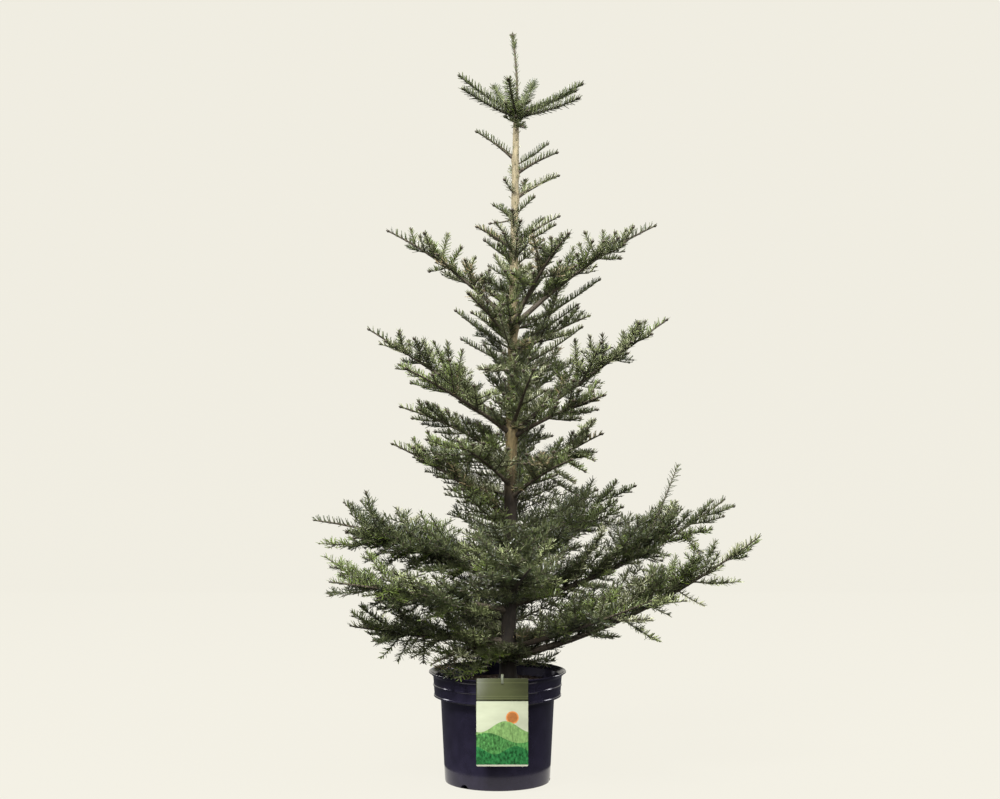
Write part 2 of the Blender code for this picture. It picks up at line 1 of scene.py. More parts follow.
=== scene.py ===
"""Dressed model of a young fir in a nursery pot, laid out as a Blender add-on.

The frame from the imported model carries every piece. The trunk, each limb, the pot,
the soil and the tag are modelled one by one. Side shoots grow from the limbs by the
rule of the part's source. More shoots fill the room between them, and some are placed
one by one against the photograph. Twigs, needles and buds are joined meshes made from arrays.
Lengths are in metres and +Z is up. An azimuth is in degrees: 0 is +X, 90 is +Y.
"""

import functools
import math
import random
from collections import namedtuple

import bmesh
import bpy
import numpy as np
from bpy.props import FloatProperty, FloatVectorProperty, IntProperty, PointerProperty
from bpy.types import Operator, Panel, PropertyGroup
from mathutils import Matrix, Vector, noise


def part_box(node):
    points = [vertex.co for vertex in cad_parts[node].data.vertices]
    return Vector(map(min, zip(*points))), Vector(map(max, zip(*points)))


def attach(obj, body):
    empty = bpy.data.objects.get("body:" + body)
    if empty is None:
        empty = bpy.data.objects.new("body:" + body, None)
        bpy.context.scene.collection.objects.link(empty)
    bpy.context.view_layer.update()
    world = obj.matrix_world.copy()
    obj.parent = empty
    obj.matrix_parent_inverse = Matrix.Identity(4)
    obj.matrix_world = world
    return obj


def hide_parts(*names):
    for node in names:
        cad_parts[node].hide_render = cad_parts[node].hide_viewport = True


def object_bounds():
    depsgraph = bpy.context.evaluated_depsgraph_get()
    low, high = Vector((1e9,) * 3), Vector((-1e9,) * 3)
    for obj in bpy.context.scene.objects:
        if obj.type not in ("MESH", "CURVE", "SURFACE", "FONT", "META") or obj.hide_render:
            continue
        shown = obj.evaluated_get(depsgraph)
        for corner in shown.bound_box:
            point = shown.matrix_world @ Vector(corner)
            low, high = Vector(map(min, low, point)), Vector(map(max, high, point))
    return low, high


bl_info = {
    "name": "Potted fir",
    "version": (1, 0, 0),
    "blender": (4, 5, 0),
    "location": "View3D > Sidebar > Fir",
    "description": "A young fir in a nursery pot: bark, twigs, needles, pot, soil and tag",
    "category": "Object",
}

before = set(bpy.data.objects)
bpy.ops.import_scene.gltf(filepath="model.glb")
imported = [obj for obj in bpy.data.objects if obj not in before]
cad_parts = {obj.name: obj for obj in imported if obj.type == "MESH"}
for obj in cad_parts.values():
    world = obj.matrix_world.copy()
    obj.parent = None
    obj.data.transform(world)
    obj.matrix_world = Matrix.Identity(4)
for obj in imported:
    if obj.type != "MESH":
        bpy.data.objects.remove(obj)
CAD_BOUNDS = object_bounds()

# Places that the frame gives
POT_LOW, POT_HIGH = (Vector(corner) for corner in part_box("pot"))
SOIL_LOW, SOIL_HIGH = (Vector(corner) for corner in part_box("soil"))
TAG_LOW, TAG_HIGH = (Vector(corner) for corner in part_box("plant_tag"))
TRUNK_HIGH = Vector(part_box("trunk")[1])
LEADER_HIGH = Vector(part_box("foliage_top")[1])
LIP_RADIUS = (POT_HIGH.x - POT_LOW.x) / 2
POT_HEIGHT = POT_HIGH.z
SOIL_TOP = SOIL_HIGH.z
TRUNK_TOP = TRUNK_HIGH.z
LEADER_TOP = LEADER_HIGH.z

# Trunk, as in the part's source
TRUNK_FOOT_X = 0.021
TRUNK_TOP_X = 0.038
TRUNK_SWAY = 0.003
TRUNK_FOOT_RADIUS = 0.0160
TRUNK_TOP_RADIUS = 0.0060
FLARE_RADIUS = 0.0065
FLARE_HEIGHT = 0.022
LEADER_RADIUS = 0.0028
LEADER_TIP_RADIUS = 0.0017
LEADER_BEND = 0.0035
LEADER_TIP_X = 0.0286

# Whorl of shoots round the leader's foot, within the reach of the part's source
WHORL_HEIGHT = 0.010
WHORL_STEP = 0.007
WHORL_REACH = 0.128
WHORL_EAST = 0.075
WHORL_REACH_RANGE = (0.95, 1.0)

# Shoots of that whorl: azimuth and rise
WHORL_SHOOTS = (
    (4, 0.068),
    (22, 0.054),
    (340, 0.030),
    (73, 0.086),
    (112, 0.082),
    (184, 0.074),
    (204, 0.048),
    (262, 0.048),
)
WHORL_STUB = (288, 0.040, -0.012)
WHORL_STUB_DROP = 0.004
WHORL_STUB_RADIUS = 0.0022
WHORL_STUB_BARE = 0.15
WHORL_RADIUS = 0.0030
WHORL_BARE = 0.08

# Limbs, as in the part's source
Limb = namedtuple("Limb", "name azimuth foot reach rise arch bare shoots shoot_length")
LIMBS = (
    Limb("low_right", 356, 0.252, 0.508, 0.247, -0.034, 0.20, 9, 0.175),
    Limb("low_left", 194, 0.285, 0.325, 0.040, -0.006, 0.22, 7, 0.160),
    Limb("low_front", 222, 0.276, 0.205, -0.020, 0.012, 0.34, 4, 0.105),
    Limb("low_front_right", 316, 0.270, 0.375, 0.125, -0.006, 0.22, 7, 0.155),
    Limb("low_back", 98, 0.265, 0.400, 0.090, -0.015, 0.22, 8, 0.165),
    Limb("wide_left", 176, 0.395, 0.402, 0.134, 0.022, 0.18, 8, 0.170),
    Limb("wide_right", 12, 0.360, 0.462, 0.208, -0.031, 0.18, 9, 0.185),
    Limb("wide_front_left", 210, 0.345, 0.400, 0.080, 0.004, 0.18, 8, 0.170),
    Limb("wide_front", 276, 0.380, 0.355, 0.085, 0.000, 0.20, 7, 0.165),
    Limb("wide_back_left", 142, 0.410, 0.385, 0.095, 0.010, 0.18, 8, 0.165),
    Limb("wide_back_right", 56, 0.400, 0.430, 0.190, -0.010, 0.18, 8, 0.180),
    Limb("mid_left_plain", 190, 0.531, 0.240, 0.156, 0.012, 0.40, 4, 0.095),
    Limb("mid_right", 354, 0.590, 0.185, 0.117, 0.008, 0.24, 5, 0.120),
    Limb("mid_left", 172, 0.655, 0.228, 0.107, 0.010, 0.00, 6, 0.115),
    Limb("mid_front_left", 240, 0.600, 0.195, 0.085, 0.008, 0.00, 6, 0.120),
    Limb("mid_front_right", 306, 0.575, 0.200, 0.085, 0.008, 0.00, 6, 0.120),
    Limb("mid_back", 80, 0.600, 0.230, 0.120, 0.008, 0.00, 6, 0.120),
    Limb("third_left", 180, 0.722, 0.290, 0.198, 0.005, 0.20, 7, 0.125),
    Limb("third_right", 2, 0.712, 0.317, 0.228, 0.000, 0.18, 8, 0.130),
    Limb("third_low_right", 328, 0.700, 0.215, 0.086, 0.006, 0.26, 5, 0.105),
    Limb("third_back_left", 138, 0.712, 0.225, 0.110, 0.006, 0.40, 5, 0.105),
    Limb("third_front_left", 216, 0.708, 0.255, 0.130, 0.006, 0.00, 6, 0.120),
    Limb("third_front", 282, 0.715, 0.200, 0.120, 0.006, 0.00, 5, 0.115),
    Limb("third_back", 66, 0.718, 0.260, 0.170, 0.006, 0.00, 6, 0.120),
    Limb("second_left", 182, 0.930, 0.253, 0.190, 0.017, 0.20, 6, 0.095),
    Limb("second_right", 357, 0.926, 0.287, 0.204, 0.018, 0.18, 7, 0.100),
    Limb("second_front", 298, 0.928, 0.225, 0.170, 0.015, 0.20, 6, 0.100),
    Limb("second_front_left", 238, 0.890, 0.165, 0.095, 0.006, 0.00, 4, 0.085),
    Limb("second_back", 92, 0.925, 0.225, 0.160, 0.015, 0.00, 6, 0.095),
    Limb("second_low_right", 18, 0.865, 0.165, 0.085, 0.006, 0.00, 4, 0.085),
    Limb("twig_left", 178, 1.267, 0.078, 0.057, 0.003, 0.00, 0, 0.040),
    Limb("twig_right", 350, 1.238, 0.084, 0.041, 0.003, 0.00, 0, 0.040),
    Limb("twig_back", 20, 1.188, 0.094, 0.050, 0.003, 0.00, 1, 0.050),
    Limb("twig_fork", 350, 1.094, 0.090, 0.055, 0.003, 0.00, 2, 0.060),
    Limb("twig_front_left", 202, 1.081, 0.080, 0.045, 0.003, 0.00, 2, 0.055),
)
LIMB_FOOT_RADIUS = 0.0030
LIMB_RADIUS_SHARE = 0.0105
LIMB_TIP_RADIUS = 0.0014
LIMB_TAPER_POWER = 0.8
STEM_END = 0.80
TWIG_STEM_END = 0.34
TWIG_REACH = 0.12

# Side shoots, as in the part's source
NEEDLE_REACH = 0.0155
SPRAY_SHARE = 0.30
SHOOT_ANGLE = 50.0
SHOOT_ANGLE_SPREAD = 9.0
UPPER_LIFT = (0.40, 0.95)
LOWER_LIFT = (-0.30, 0.20)
SHOOT_SPAN = 0.90
SHOOT_TAPER = 0.50
SHOOT_LENGTH_SPREAD = 0.15
SHOOT_ROLL = 35.0
SHORTEST_SHOOT = 0.030
FIRST_SHOOT = 0.04
SPACE_MARGIN = 0.0025
TRUNK_MARGIN = 0.004
POT_MARGIN = 0.006
AXIS_STEPS = 16
SHRINK = 0.8
SEED = 2412

# Finer growth that only this model carries
FINE_SEED = 5150
SHOOT_SAG = 0.035
SHOOT_POINTS = 6
STEM_POINTS = 24
BRANCHLET_PITCH = 0.027
BRANCHLET_JITTER = (0.20, 0.45)
BRANCHLET_START = 0.020
BRANCHLET_ANGLE = (44.0, 54.0)
BRANCHLET_LENGTH = (0.88, 1.12)
BRANCHLET_TAPER = 0.45
BRANCHLET_LIFT = (-0.10, 0.26)
BRANCHLET_POINTS = 4
SINGLE_POINTS = 8
FILLER_ANGLE = (30.0, 66.0)
FILLER_END = 0.80
LOW_FILLER_END = 0.70
SHORTEST_FILLER = 0.034

# Fillers of a limb: the pitch at which they stand, and the ranges of their length, lift and side swing
Filling = namedtuple("Filling", "pitch lengths lift swing")
LOW_FILLING = Filling(0.0098, (0.40, 0.90), (-0.28, 0.80), (0.35, 1.0))
HIGH_FILLING = Filling(0.0130, (0.34, 0.64), (0.10, 1.40), (0.20, 0.90))
FLAT_FILLING = Filling(0.0098, (0.40, 0.95), (-0.45, 0.28), (0.40, 1.0))
RAISED_FILLING = Filling(0.0112, (0.45, 1.05), (0.06, 1.15), (0.15, 0.85))
LOOSE_FILLING = Filling(0.0150, (0.40, 0.90), (-0.10, 0.90), (0.35, 1.0))
SPARSE_FILLING = Filling(0.0260, (0.34, 0.60), (-0.25, 1.20), (0.20, 0.90))
CLOSE_FILLING = Filling(0.0108, (0.38, 0.70), (-0.10, 1.20), (0.30, 1.00))

# Limbs that are not filled as the rest of the low or the high limbs are
FILLINGS = {
    "low_right": RAISED_FILLING,
    "low_front_right": LOOSE_FILLING,
    "wide_right": RAISED_FILLING,
    "wide_left": FLAT_FILLING,
    "wide_back_left": FLAT_FILLING,
    "wide_front_left": FLAT_FILLING,
    "mid_left": CLOSE_FILLING,
    "mid_right": CLOSE_FILLING,
    "third_left": SPARSE_FILLING,
    "third_front_left": SPARSE_FILLING,
}

# Limbs above this foot height count as high ones. Flat limbs keep this share of their shoots' rise.
HIGH_FOOT = 0.50
FLAT_LIFT = 0.60

# Fillers: how far before the foliage they start, the least share of the reach at which they do, and how
# they shorten along the limb. Raised ones have narrower sprays and a barer foot.
FILLER_LEAD = 0.04
FIRST_FILLER = 0.06
FILLER_JITTER = (0.0, 0.9)
FILLER_TAPER = 0.55
RAISED_SPREAD = 0.20
RAISED_BARE = 0.20

# Shoots placed one by one: the longest stay narrow and deep green
LONG_PLACED = 0.180
PLACED_SPREAD = 0.16
PLACED_ROLL = 0.3

# Twigs: bare share of the foot, radii, and the sizes below which a shoot has no branchlets
SHOOT_BARE = 0.10
BRANCHLET_BARE = 0.06
LAST_BRANCHLET = 0.92
SHORTEST_BRANCHLET = 0.020
PLAIN_SHOOT = 0.068
NARROW_SPREAD = 0.010
TWIG_FOOT_RADIUS = 0.0010
TWIG_RADIUS_SHARE = 0.0085
TWIG_TIP_RADIUS = 0.0009

# A limb's own needles start this far past its bare foot
STEM_LEAD = 0.08
STEM_BARE = 0.10
STEM_TINT_SHARE = 0.7

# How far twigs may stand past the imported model's box
REACH_MARGIN = 0.006

# Buds of the low limbs are smaller
LOW_BUD = 0.65

# Short shoots carry closer and shorter needles, and the top whorl carries the closest
DENSE_BELOW = 0.150
DENSEST = 0.58
WHORL_DENSITY = 0.38
WHORL_DEPTH = 0.010

# Shoots on the trunk between the limbs: zone bottom, zone top, how many, shortest,
# longest and how steeply they rise
TRUNK_SHOOT_ZONES = (
    (0.240, 0.300, 26, 0.060, 0.120, (-0.05, 0.50)),
    (0.30, 0.45, 20, 0.100, 0.190, (0.00, 1.00)),
    (0.45, 0.63, 24, 0.100, 0.200, (0.25, 1.00)),
    (0.63, 0.95, 38, 0.055, 0.125, (-0.10, 1.30)),
    (0.95, 1.06, 16, 0.045, 0.085, (0.10, 1.20)),
    (1.338, 1.366, 12, 0.020, 0.036, (0.25, 1.00)),
)
BROWNED_FOOT = 0.300
TRUNK_SHOOT_JITTER = (0.1, 0.9)
TRUNK_TINT_SHARE = (0.0, 0.8)

# Stretches of the trunk that show from the front, and how far forward a shoot may point there
OPEN_TRUNK = ((0.27, 0.36), (0.53, 0.70))
OPEN_FRONT = -0.45

# Single twigs on the young trunk: height, azimuth, reach, rise
TRUNK_TWIGS = (
    (1.256, 12, 0.066, 0.044),
    (1.222, 96, 0.052, 0.036),
    (1.196, 232, 0.034, 0.026),
    (1.156, 342, 0.040, 0.033),
    (1.150, 168, 0.042, 0.024),
    (1.138, 120, 0.056, 0.040),
    (1.124, 262, 0.034, 0.036),
    (1.103, 22, 0.062, 0.045),
    (1.104, 290, 0.036, 0.034),
    (1.096, 214, 0.046, 0.040),
    (1.090, 336, 0.088, 0.040),
    (1.084, 152, 0.060, 0.038),
    (1.078, 66, 0.066, 0.040),
    (1.072, 246, 0.052, 0.040),
    (1.064, 308, 0.058, 0.042),
    (1.060, 192, 0.060, 0.040),
    (1.056, 278, 0.044, 0.044),
    (0.918, 8, 0.178, 0.105),
    (0.889, 350, 0.132, 0.080),
    (0.838, 348, 0.142, 0.085),
    (0.879, 188, 0.116, 0.078),
    (0.850, 170, 0.104, 0.050),
    (0.905, 100, 0.120, 0.085),
    (0.870, 255, 0.100, 0.075),
    (0.732, 258, 0.070, 0.085),
    (0.748, 292, 0.062, 0.080),
    (0.762, 240, 0.060, 0.072),
    (0.778, 276, 0.058, 0.074),
    (0.794, 306, 0.060, 0.066),
    (0.806, 252, 0.056, 0.064),
    (0.820, 284, 0.056, 0.060),
)
BARE_STUB = (1.147, 195, 0.050, -0.011)
BARE_STUB_RADIUS = 0.0020
TRUNK_TWIG_RADIUS = 0.0012
TRUNK_TWIG_RADIUS_SHARE = 0.006
TRUNK_TWIG_BARE = 0.16
SINGLE_TIP_RADIUS = 0.0012

# How the photograph lies in the trunk's plane: metres a pixel, the pixel across of the camera's middle
# and the pixel down of the floor. The camera stands level and square to that plane.
PIXEL = 0.002044
MIDDLE_ACROSS = 500
FLOOR_DOWN = 780
CAMERA_X = 0.0051
CAMERA_DISTANCE = 3.7
CAMERA_HEIGHT = 0.778

# A shoot's place is kept to these steps of the limb's reach, and its run to a millimetre
SHARE_STEPS = 500
FIRST_SHARE_STEP = 20
SHARE_DIGITS = 2
RUN_DIGITS = 3

# Shoots placed one by one against the photograph. Each has the pixel across of its foot, the pixels across
# and down of its tip, and a guessed depth: how far its tip stands behind its foot, in metres.
Reading = namedtuple("Reading", "foot_across tip_across tip_down behind")
READ_SHOOTS = {
    "second_front": (
        (530, 548, 250, -0.03),
    ),
    "second_low_right": (
        (540, 566, 268, -0.03), (534, 560, 284, 0.03),
    ),
    "mid_left": (
        (466, 436, 432, -0.03), (478, 447, 447, 0.04), (452, 424, 424, 0.03), (440, 414, 419, -0.02),
    ),
    "mid_front_left": (
        (466, 428, 440, -0.02), (474, 425, 450, 0.03), (484, 438, 459, -0.03),
    ),
    "third_front": (
        (512, 520, 425, -0.06),
    ),
    "third_low_right": (
        (565, 602, 396, -0.02), (556, 596, 410, -0.04), (548, 580, 418, -0.05),
    ),
    "mid_right": (
        (545, 576, 447, -0.03), (536, 566, 463, 0.03), (552, 591, 452, 0.02), (562, 588, 436, -0.03),
        (560, 594, 421, 0.02), (572, 593, 460, -0.04), (560, 584, 471, -0.04), (548, 574, 482, -0.05),
        (540, 576, 495, -0.06), (545, 562, 440, 0.03),
    ),
    "mid_left_plain": (
        (480, 466, 502, -0.035), (468, 452, 490, -0.03), (456, 438, 477, -0.03), (474, 452, 458, 0.03),
        (446, 428, 432, -0.03), (458, 449, 430, 0.03), (466, 468, 434, -0.02), (436, 418, 446, 0.03),
    ),
    "low_front_right": (
        (520, 540, 628, -0.02), (522, 529, 655, -0.06), (535, 552, 640, -0.01),
    ),
    "low_front": (
        (478, 447, 676, -0.065), (468, 437, 669, -0.02), (486, 459, 679, -0.1), (492, 472, 673, -0.105),
        (498, 500, 656, -0.08), (500, 509, 646, -0.08), (496, 488, 662, -0.095), (455, 436, 660, -0.01),
        (480, 455, 650, -0.01), (488, 468, 640, -0.02), (494, 482, 632, -0.03), (462, 446, 643, 0.01),
        (484, 478, 656, -0.07),
    ),
    "wide_left": (
        (380, 350, 548, 0.04), (400, 366, 562, 0.03), (416, 384, 566, -0.02), (432, 402, 572, 0.03),
        (392, 352, 532, -0.03), (402, 372, 548, -0.03), (420, 392, 556, -0.04),
        (378, 366, 493.5, -0.01), (402, 320.5, 543.5, -0.03), (440, 420, 512, 0.04),
    ),
    "wide_front_left": (
        (392, 364, 596, -0.03), (404, 372, 604, 0.03), (416, 384, 612, -0.02), (430, 398, 618, 0.03),
        (384, 350, 586, 0.05), (400, 366, 552, 0.02), (410, 378, 560, 0.04), (388, 326.3, 557, 0.06),
        (372, 341, 576, 0.03), (378, 327, 592.5, 0.02),
    ),
    "low_left": (
        (384, 352, 612, 0.03), (398, 364, 622, -0.02), (410, 376, 640, 0.03), (412, 398, 660, -0.03),
        (425, 424, 662, -0.04), (450, 436, 640, -0.06), (466, 452, 622, -0.06), (478, 466, 612, -0.04),
        (458, 440, 612, 0.02), (400, 360, 606, -0.03), (392, 368, 633, -0.03),
        (402, 381.5, 657.5, -0.02), (420, 408, 650, 0.02),
    ),
    "wide_back_left": (
        (440, 414, 540, 0.03), (450, 416, 530.75, -0.03), (456, 431.5, 516, 0.03),
        (430, 396, 508, 0.04),
    ),
    "wide_right": (
        (540, 556, 606, -0.05), (553, 570, 599, 0.03), (566, 584, 593, -0.04), (580, 598, 588, 0.03),
        (594, 612, 580, -0.04), (620, 652, 508, 0.04), (636, 668, 520, -0.02), (656, 690, 512, 0.03),
        (700, 732, 507, 0.01), (690, 722, 517, -0.03), (676, 712, 529, -0.04), (660, 690, 535, -0.05),
        (600, 612, 572, -0.06), (625, 640, 562, -0.05), (650, 668, 556, -0.05), (580, 592, 586, -0.05),
        (640, 678.5, 465.5, 0.03), (652, 676, 502, -0.02), (680, 711.5, 502, 0.02),
        (682, 698, 553, -0.06),
    ),
    "wide_back_right": (
        (600, 634.5, 486.5, -0.03), (572, 588, 485, 0.03),
    ),
    "low_right": (
        (535, 541, 613, -0.03), (546, 552, 605, 0.04), (556, 563, 600, -0.04), (566, 573, 596, 0.03),
        (577, 583, 591, -0.03), (588, 594, 587, 0.04), (598, 604, 584, -0.03), (610, 618, 580, 0.03),
        (600, 628, 570, 0.04), (618, 640, 556, 0.06), (728, 742, 549, -0.02), (728, 746, 556, 0.03),
        (722, 738, 546, 0.03), (732, 751, 549, -0.01), (734, 758, 541, 0.02), (560, 572, 632, -0.03),
        (580, 588, 616, 0.04), (600, 612, 604, -0.04), (612, 626, 596, 0.04), (630, 640, 588, -0.03),
        (690, 694, 546, -0.05), (668, 676, 556, 0.05), (655, 662, 572, -0.045), (700, 722, 566, 0.03),
        (640, 634, 580, 0.05), (699, 716, 541, 0.03), (706, 718.5, 554, -0.03), (692, 738, 582, 0.01),
        (678, 703, 605, -0.03), (650, 668, 614.5, 0.01), (622, 658.5, 641, -0.01),
        (662, 650, 566.5, 0.03), (672, 686, 568, -0.03), (585, 600.5, 636.5, 0.01),
    ),
    "third_right": (
        (629, 636.5, 322.7, -0.01), (621, 622.5, 333, 0.02), (636, 650.5, 335, -0.02),
        (605, 603, 335, -0.02), (598, 589.7, 337.3, 0.02), (578, 575, 341, -0.02),
        (609, 627, 353.6, -0.03), (566, 554.5, 357.3, 0.01), (640, 645, 322, 0.02),
    ),
    "third_left": (
        (402, 399.5, 331.4, -0.01), (411, 409, 341.5, 0.02), (421, 418.7, 343.5, -0.02),
        (455, 434.6, 343, -0.02), (450, 446.7, 343, 0.02), (454.5, 462, 351, 0),
    ),
    "third_front_left": (
        (442, 399.5, 365.2, 0.03), (450, 425, 387.5, 0.02),
    ),
    "second_right": (
        (545, 560, 262, -0.04), (538, 556, 276, 0.03), (597.6, 584.8, 233, -0.01),
        (603.6, 603.6, 231.8, 0.01), (607, 615.2, 233.6, -0.02), (586.7, 580.6, 244.5, 0.02),
        (597.6, 619.4, 258.5, -0.03), (580.6, 577, 254.8, -0.02), (560, 573.3, 248.8, 0.02),
    ),
    "second_left": (
        (436.5, 427.5, 238.3, -0.01), (441.6, 448, 235.4, 0.02), (449, 461.5, 248.5, -0.02),
        (462, 474.8, 258.7, 0.02), (478.6, 490, 270.8, -0.02), (448, 431, 272, -0.02),
    ),
}

# Turn from each shoot on the trunk to the next
GOLDEN_ANGLE = math.radians(137.508)

UP = np.array((0.0, 0.0, 1.0))
STEEP = 0.95
Twig = namedtuple("Twig", "points radii bare tint")
Shoot = namedtuple("Shoot", "base direction length roll spread")

MASS_NAMES = tuple("foliage_" + limb.name for limb in LIMBS) + ("foliage_top",)
TINTS = ("needles_deep", "needles_green", "needles_bright", "needles_grey", "needles_brown")
BROWNED_LIMBS = ("low_front",)

# How often each of those tints comes: on dry limbs, on high ones, and near the trunk or far out on low ones
# The deep tint, painted shade, comes more often near the trunk, and the grey tint, painted sheen, more often
# high and far out.
DRY_TINTS = (0.30, 0.28, 0.10, 0.10, 0.22)
HIGH_TINTS = (0.29, 0.27, 0.14, 0.22, 0.08)
NEAR_TINTS = (0.50, 0.15, 0.27, 0.08, 0.0)
FAR_TINTS = (0.42, 0.33, 0.09, 0.16, 0.0)
NEAR_SHARE = 0.35
WHORL_TINTS = ("needles_deep", "needles_deep", "needles_green")
TRUNK_TWIG_TINTS = ("needles_deep", "needles_deep", "needles_deep", "needles_grey")

# Needles in one joined piece, which keeps it under 200,000 triangles
PIECE_NEEDLES = 32000

# Turns of the needles round a twig, in degrees from upright, in the order they stand
NEEDLE_RANKS = (-84.0, 84.0, -46.0, 46.0, -12.0, -102.0, 102.0, -66.0, 66.0, 14.0, -30.0, 30.0)
LOW_NEEDLE_RANKS = (-88.0, 88.0, -52.0, 52.0, -118.0, 118.0, -20.0, 20.0, -70.0, 70.0, -100.0, 100.0)

# How needles stand on a twig. Scatters are in radians, and flank is how far a needle points sideways.
STEEP_TWIG = 0.85
LEVEL_LEAST = 0.05
NEEDLE_JITTER = (0.15, 0.85)
TURN_SCATTER = 0.13
LEAN_SCATTER = 0.09
TWIST_SCATTER = 0.65
TOP_LEAN = 1.12
FLANK_LEAN = 0.12
NEEDLE_LIFT = 0.06
TIP_RISE = 0.05
NEEDLE_SEAT = 0.7

# How long and wide needles are: on top of the twig and on its flanks, towards its tip, and where they
# stand close
TOP_LENGTH = 0.86
FLANK_LENGTH = 0.14
NEEDLE_LENGTHS = (0.74, 1.0)
WHORL_LENGTH = 0.98
CLOSE_LENGTH = 0.70
OPEN_LENGTH = 0.30
TIP_RUN = 0.016
TIP_LEAN = 0.55
TIP_SHORTENING = 0.25
FOOT_WIDTH = 0.9
TIP_WIDTH = 0.55

# Room that needles leave to the rim, the soil and the bark
RIM_MARGIN = 0.003
SOIL_EDGE_MARGIN = 0.006
SOIL_MARGIN = 0.004
BARK_MARGIN = 0.001

# Needles all round the upright stem
UPRIGHT_JITTER = (0.0, 0.9)
UPRIGHT_LEAN = (0.45, 0.90)
UPRIGHT_LENGTHS = (0.65, 1.0)
UPRIGHT_SEAT = 0.8

# Stretches of the stem with such needles: tint, lowest and highest place, spacing and length
TRUNK_NEEDLES = (
    ("needles_grey", 1.00, 1.16, 0.0024, 0.015),
    ("needles_grey", 1.16, TRUNK_TOP, 0.0062, 0.011),
)
LEADER_NEEDLES = (
    ("needles_deep", TRUNK_TOP, LEADER_TOP - 0.03, 0.0021, 0.011),
    ("needles_deep", LEADER_TOP - 0.040, LEADER_TOP - 0.014, 0.0007, 0.013),
)


class FirBarkSettings(PropertyGroup):
    """Relief and colours of trunk, limbs and twigs."""

    relief: FloatProperty(
        name="Relief", description="Height of the bark's wrinkles", default=0.0006, unit="LENGTH"
    )
    blister: FloatProperty(
        name="Blister", description="Height of the resin blisters", default=0.0007, unit="LENGTH"
    )
    collar: FloatProperty(
        name="Collar", description="Swelling where a limb leaves the trunk", default=0.0022, unit="LENGTH"
    )
    ring_spacing: FloatProperty(
        name="Ring spacing", description="Distance between rings of points", default=0.0042, unit="LENGTH"
    )
    # The bark's own brown and tan, darkened towards the soil by painted shade under the crown and paled at
    # the top by painted light.
    low: FloatVectorProperty(
        name="Low bark", description="Bark near the soil", subtype="COLOR", default=(0.024, 0.018, 0.012)
    )
    middle: FloatVectorProperty(
        name="Middle bark", description="Bark at half height", subtype="COLOR", default=(0.215, 0.163, 0.073)
    )
    # Partly painted light: the trunk's top is paler where light falls on it.
    high: FloatVectorProperty(
        name="High bark", description="Young bark at the top", subtype="COLOR", default=(0.255, 0.214, 0.127)
    )
    limb: FloatVectorProperty(
        name="Limb bark", description="Bark of the limbs", subtype="COLOR", default=(0.055, 0.043, 0.029)
    )
    twig: FloatVectorProperty(
        name="Twig bark", description="Bark of the twigs", subtype="COLOR", default=(0.055, 0.046, 0.030)
    )


class FirNeedleSettings(PropertyGroup):
    """Size, spacing and tints of the needles."""

    length: FloatProperty(name="Length", description="Longest needle", default=0.0175, unit="LENGTH")
    width: FloatProperty(name="Width", description="Width of a needle", default=0.0024, unit="LENGTH")
    thickness: FloatProperty(
        name="Thickness", description="Depth of a needle's keel", default=0.0009, unit="LENGTH"
    )
    spacing: FloatProperty(
        name="Spacing", description="Run of twig for each needle", default=0.00165, unit="LENGTH"
    )
    lean: FloatProperty(
        name="Lean", description="Angle from the twig", default=math.radians(61.0), unit="ROTATION"
    )
    # The deep, bright and grey tints are copies of the needles' own green with painted shade, painted light
    # and painted sheen.
    deep: FloatVectorProperty(
        name="Deep", description="Shaded sprays", subtype="COLOR", default=(0.019, 0.028, 0.006)
    )
    green: FloatVectorProperty(
        name="Green", description="Common sprays", subtype="COLOR", default=(0.078, 0.110, 0.016)
    )
    # Painted light: a lit copy of the needle green.
    bright: FloatVectorProperty(
        name="Bright", description="Lively sprays", subtype="COLOR", default=(0.188, 0.216, 0.086)
    )
    # Painted sheen: a greyed copy of the needle green.
    grey: FloatVectorProperty(
        name="Grey", description="Dulled sprays", subtype="COLOR", default=(0.210, 0.216, 0.122)
    )
    brown: FloatVectorProperty(
        name="Brown", description="Dry sprays", subtype="COLOR", default=(0.180, 0.140, 0.070)
    )
    underside: FloatVectorProperty(
        name="Underside", description="Pale lower faces", subtype="COLOR", default=(0.108, 0.125, 0.052)
    )
    bud: FloatVectorProperty(
        name="Bud", description="Winter buds", subtype="COLOR", default=(0.045, 0.035, 0.022)
    )


class FirPotSettings(PropertyGroup):
    """The nursery pot and its soil."""

    sides: IntProperty(name="Sides", description="Points round the pot", default=128, min=32)
    bead: FloatProperty(
        name="Bead", description="How far the collar's bead stands out", default=0.0014, unit="LENGTH"
    )
    plastic: FloatVectorProperty(
        name="Plastic", description="Colour of the pot", subtype="COLOR", default=(0.0120, 0.0104, 0.0205)
    )
    soil: FloatVectorProperty(
        name="Soil", description="Colour of the soil", subtype="COLOR", default=(0.030, 0.020, 0.014)
    )
    crumbs: IntProperty(name="Crumbs", description="Loose crumbs on the soil", default=620, min=0)


class FirTagSettings(PropertyGroup):
    """The tag in front of the pot, with a plain printed landscape."""

    header: FloatVectorProperty(
        name="Header", description="Band at the top", subtype="COLOR", default=(0.045, 0.050, 0.021)
    )
    field: FloatVectorProperty(
        name="Field", description="Sky of the print", subtype="COLOR", default=(0.400, 0.425, 0.300)
    )
    near_hill: FloatVectorProperty(
        name="Near hill", description="Front hill", subtype="COLOR", default=(0.014, 0.088, 0.024)
    )
    far_hill: FloatVectorProperty(
        name="Far hill", description="Back hill", subtype="COLOR", default=(0.150, 0.260, 0.085)
    )
    middle_hill: FloatVectorProperty(
        name="Middle hill", description="Hill between them", subtype="COLOR", default=(0.050, 0.160, 0.042)
    )
    paper_edge: FloatVectorProperty(
        name="Edge", description="Pale rim and lines", subtype="COLOR", default=(0.440, 0.440, 0.340)
    )
    sun: FloatVectorProperty(
        name="Sun", description="Disc over the hills", subtype="COLOR", default=(0.330, 0.125, 0.036)
    )


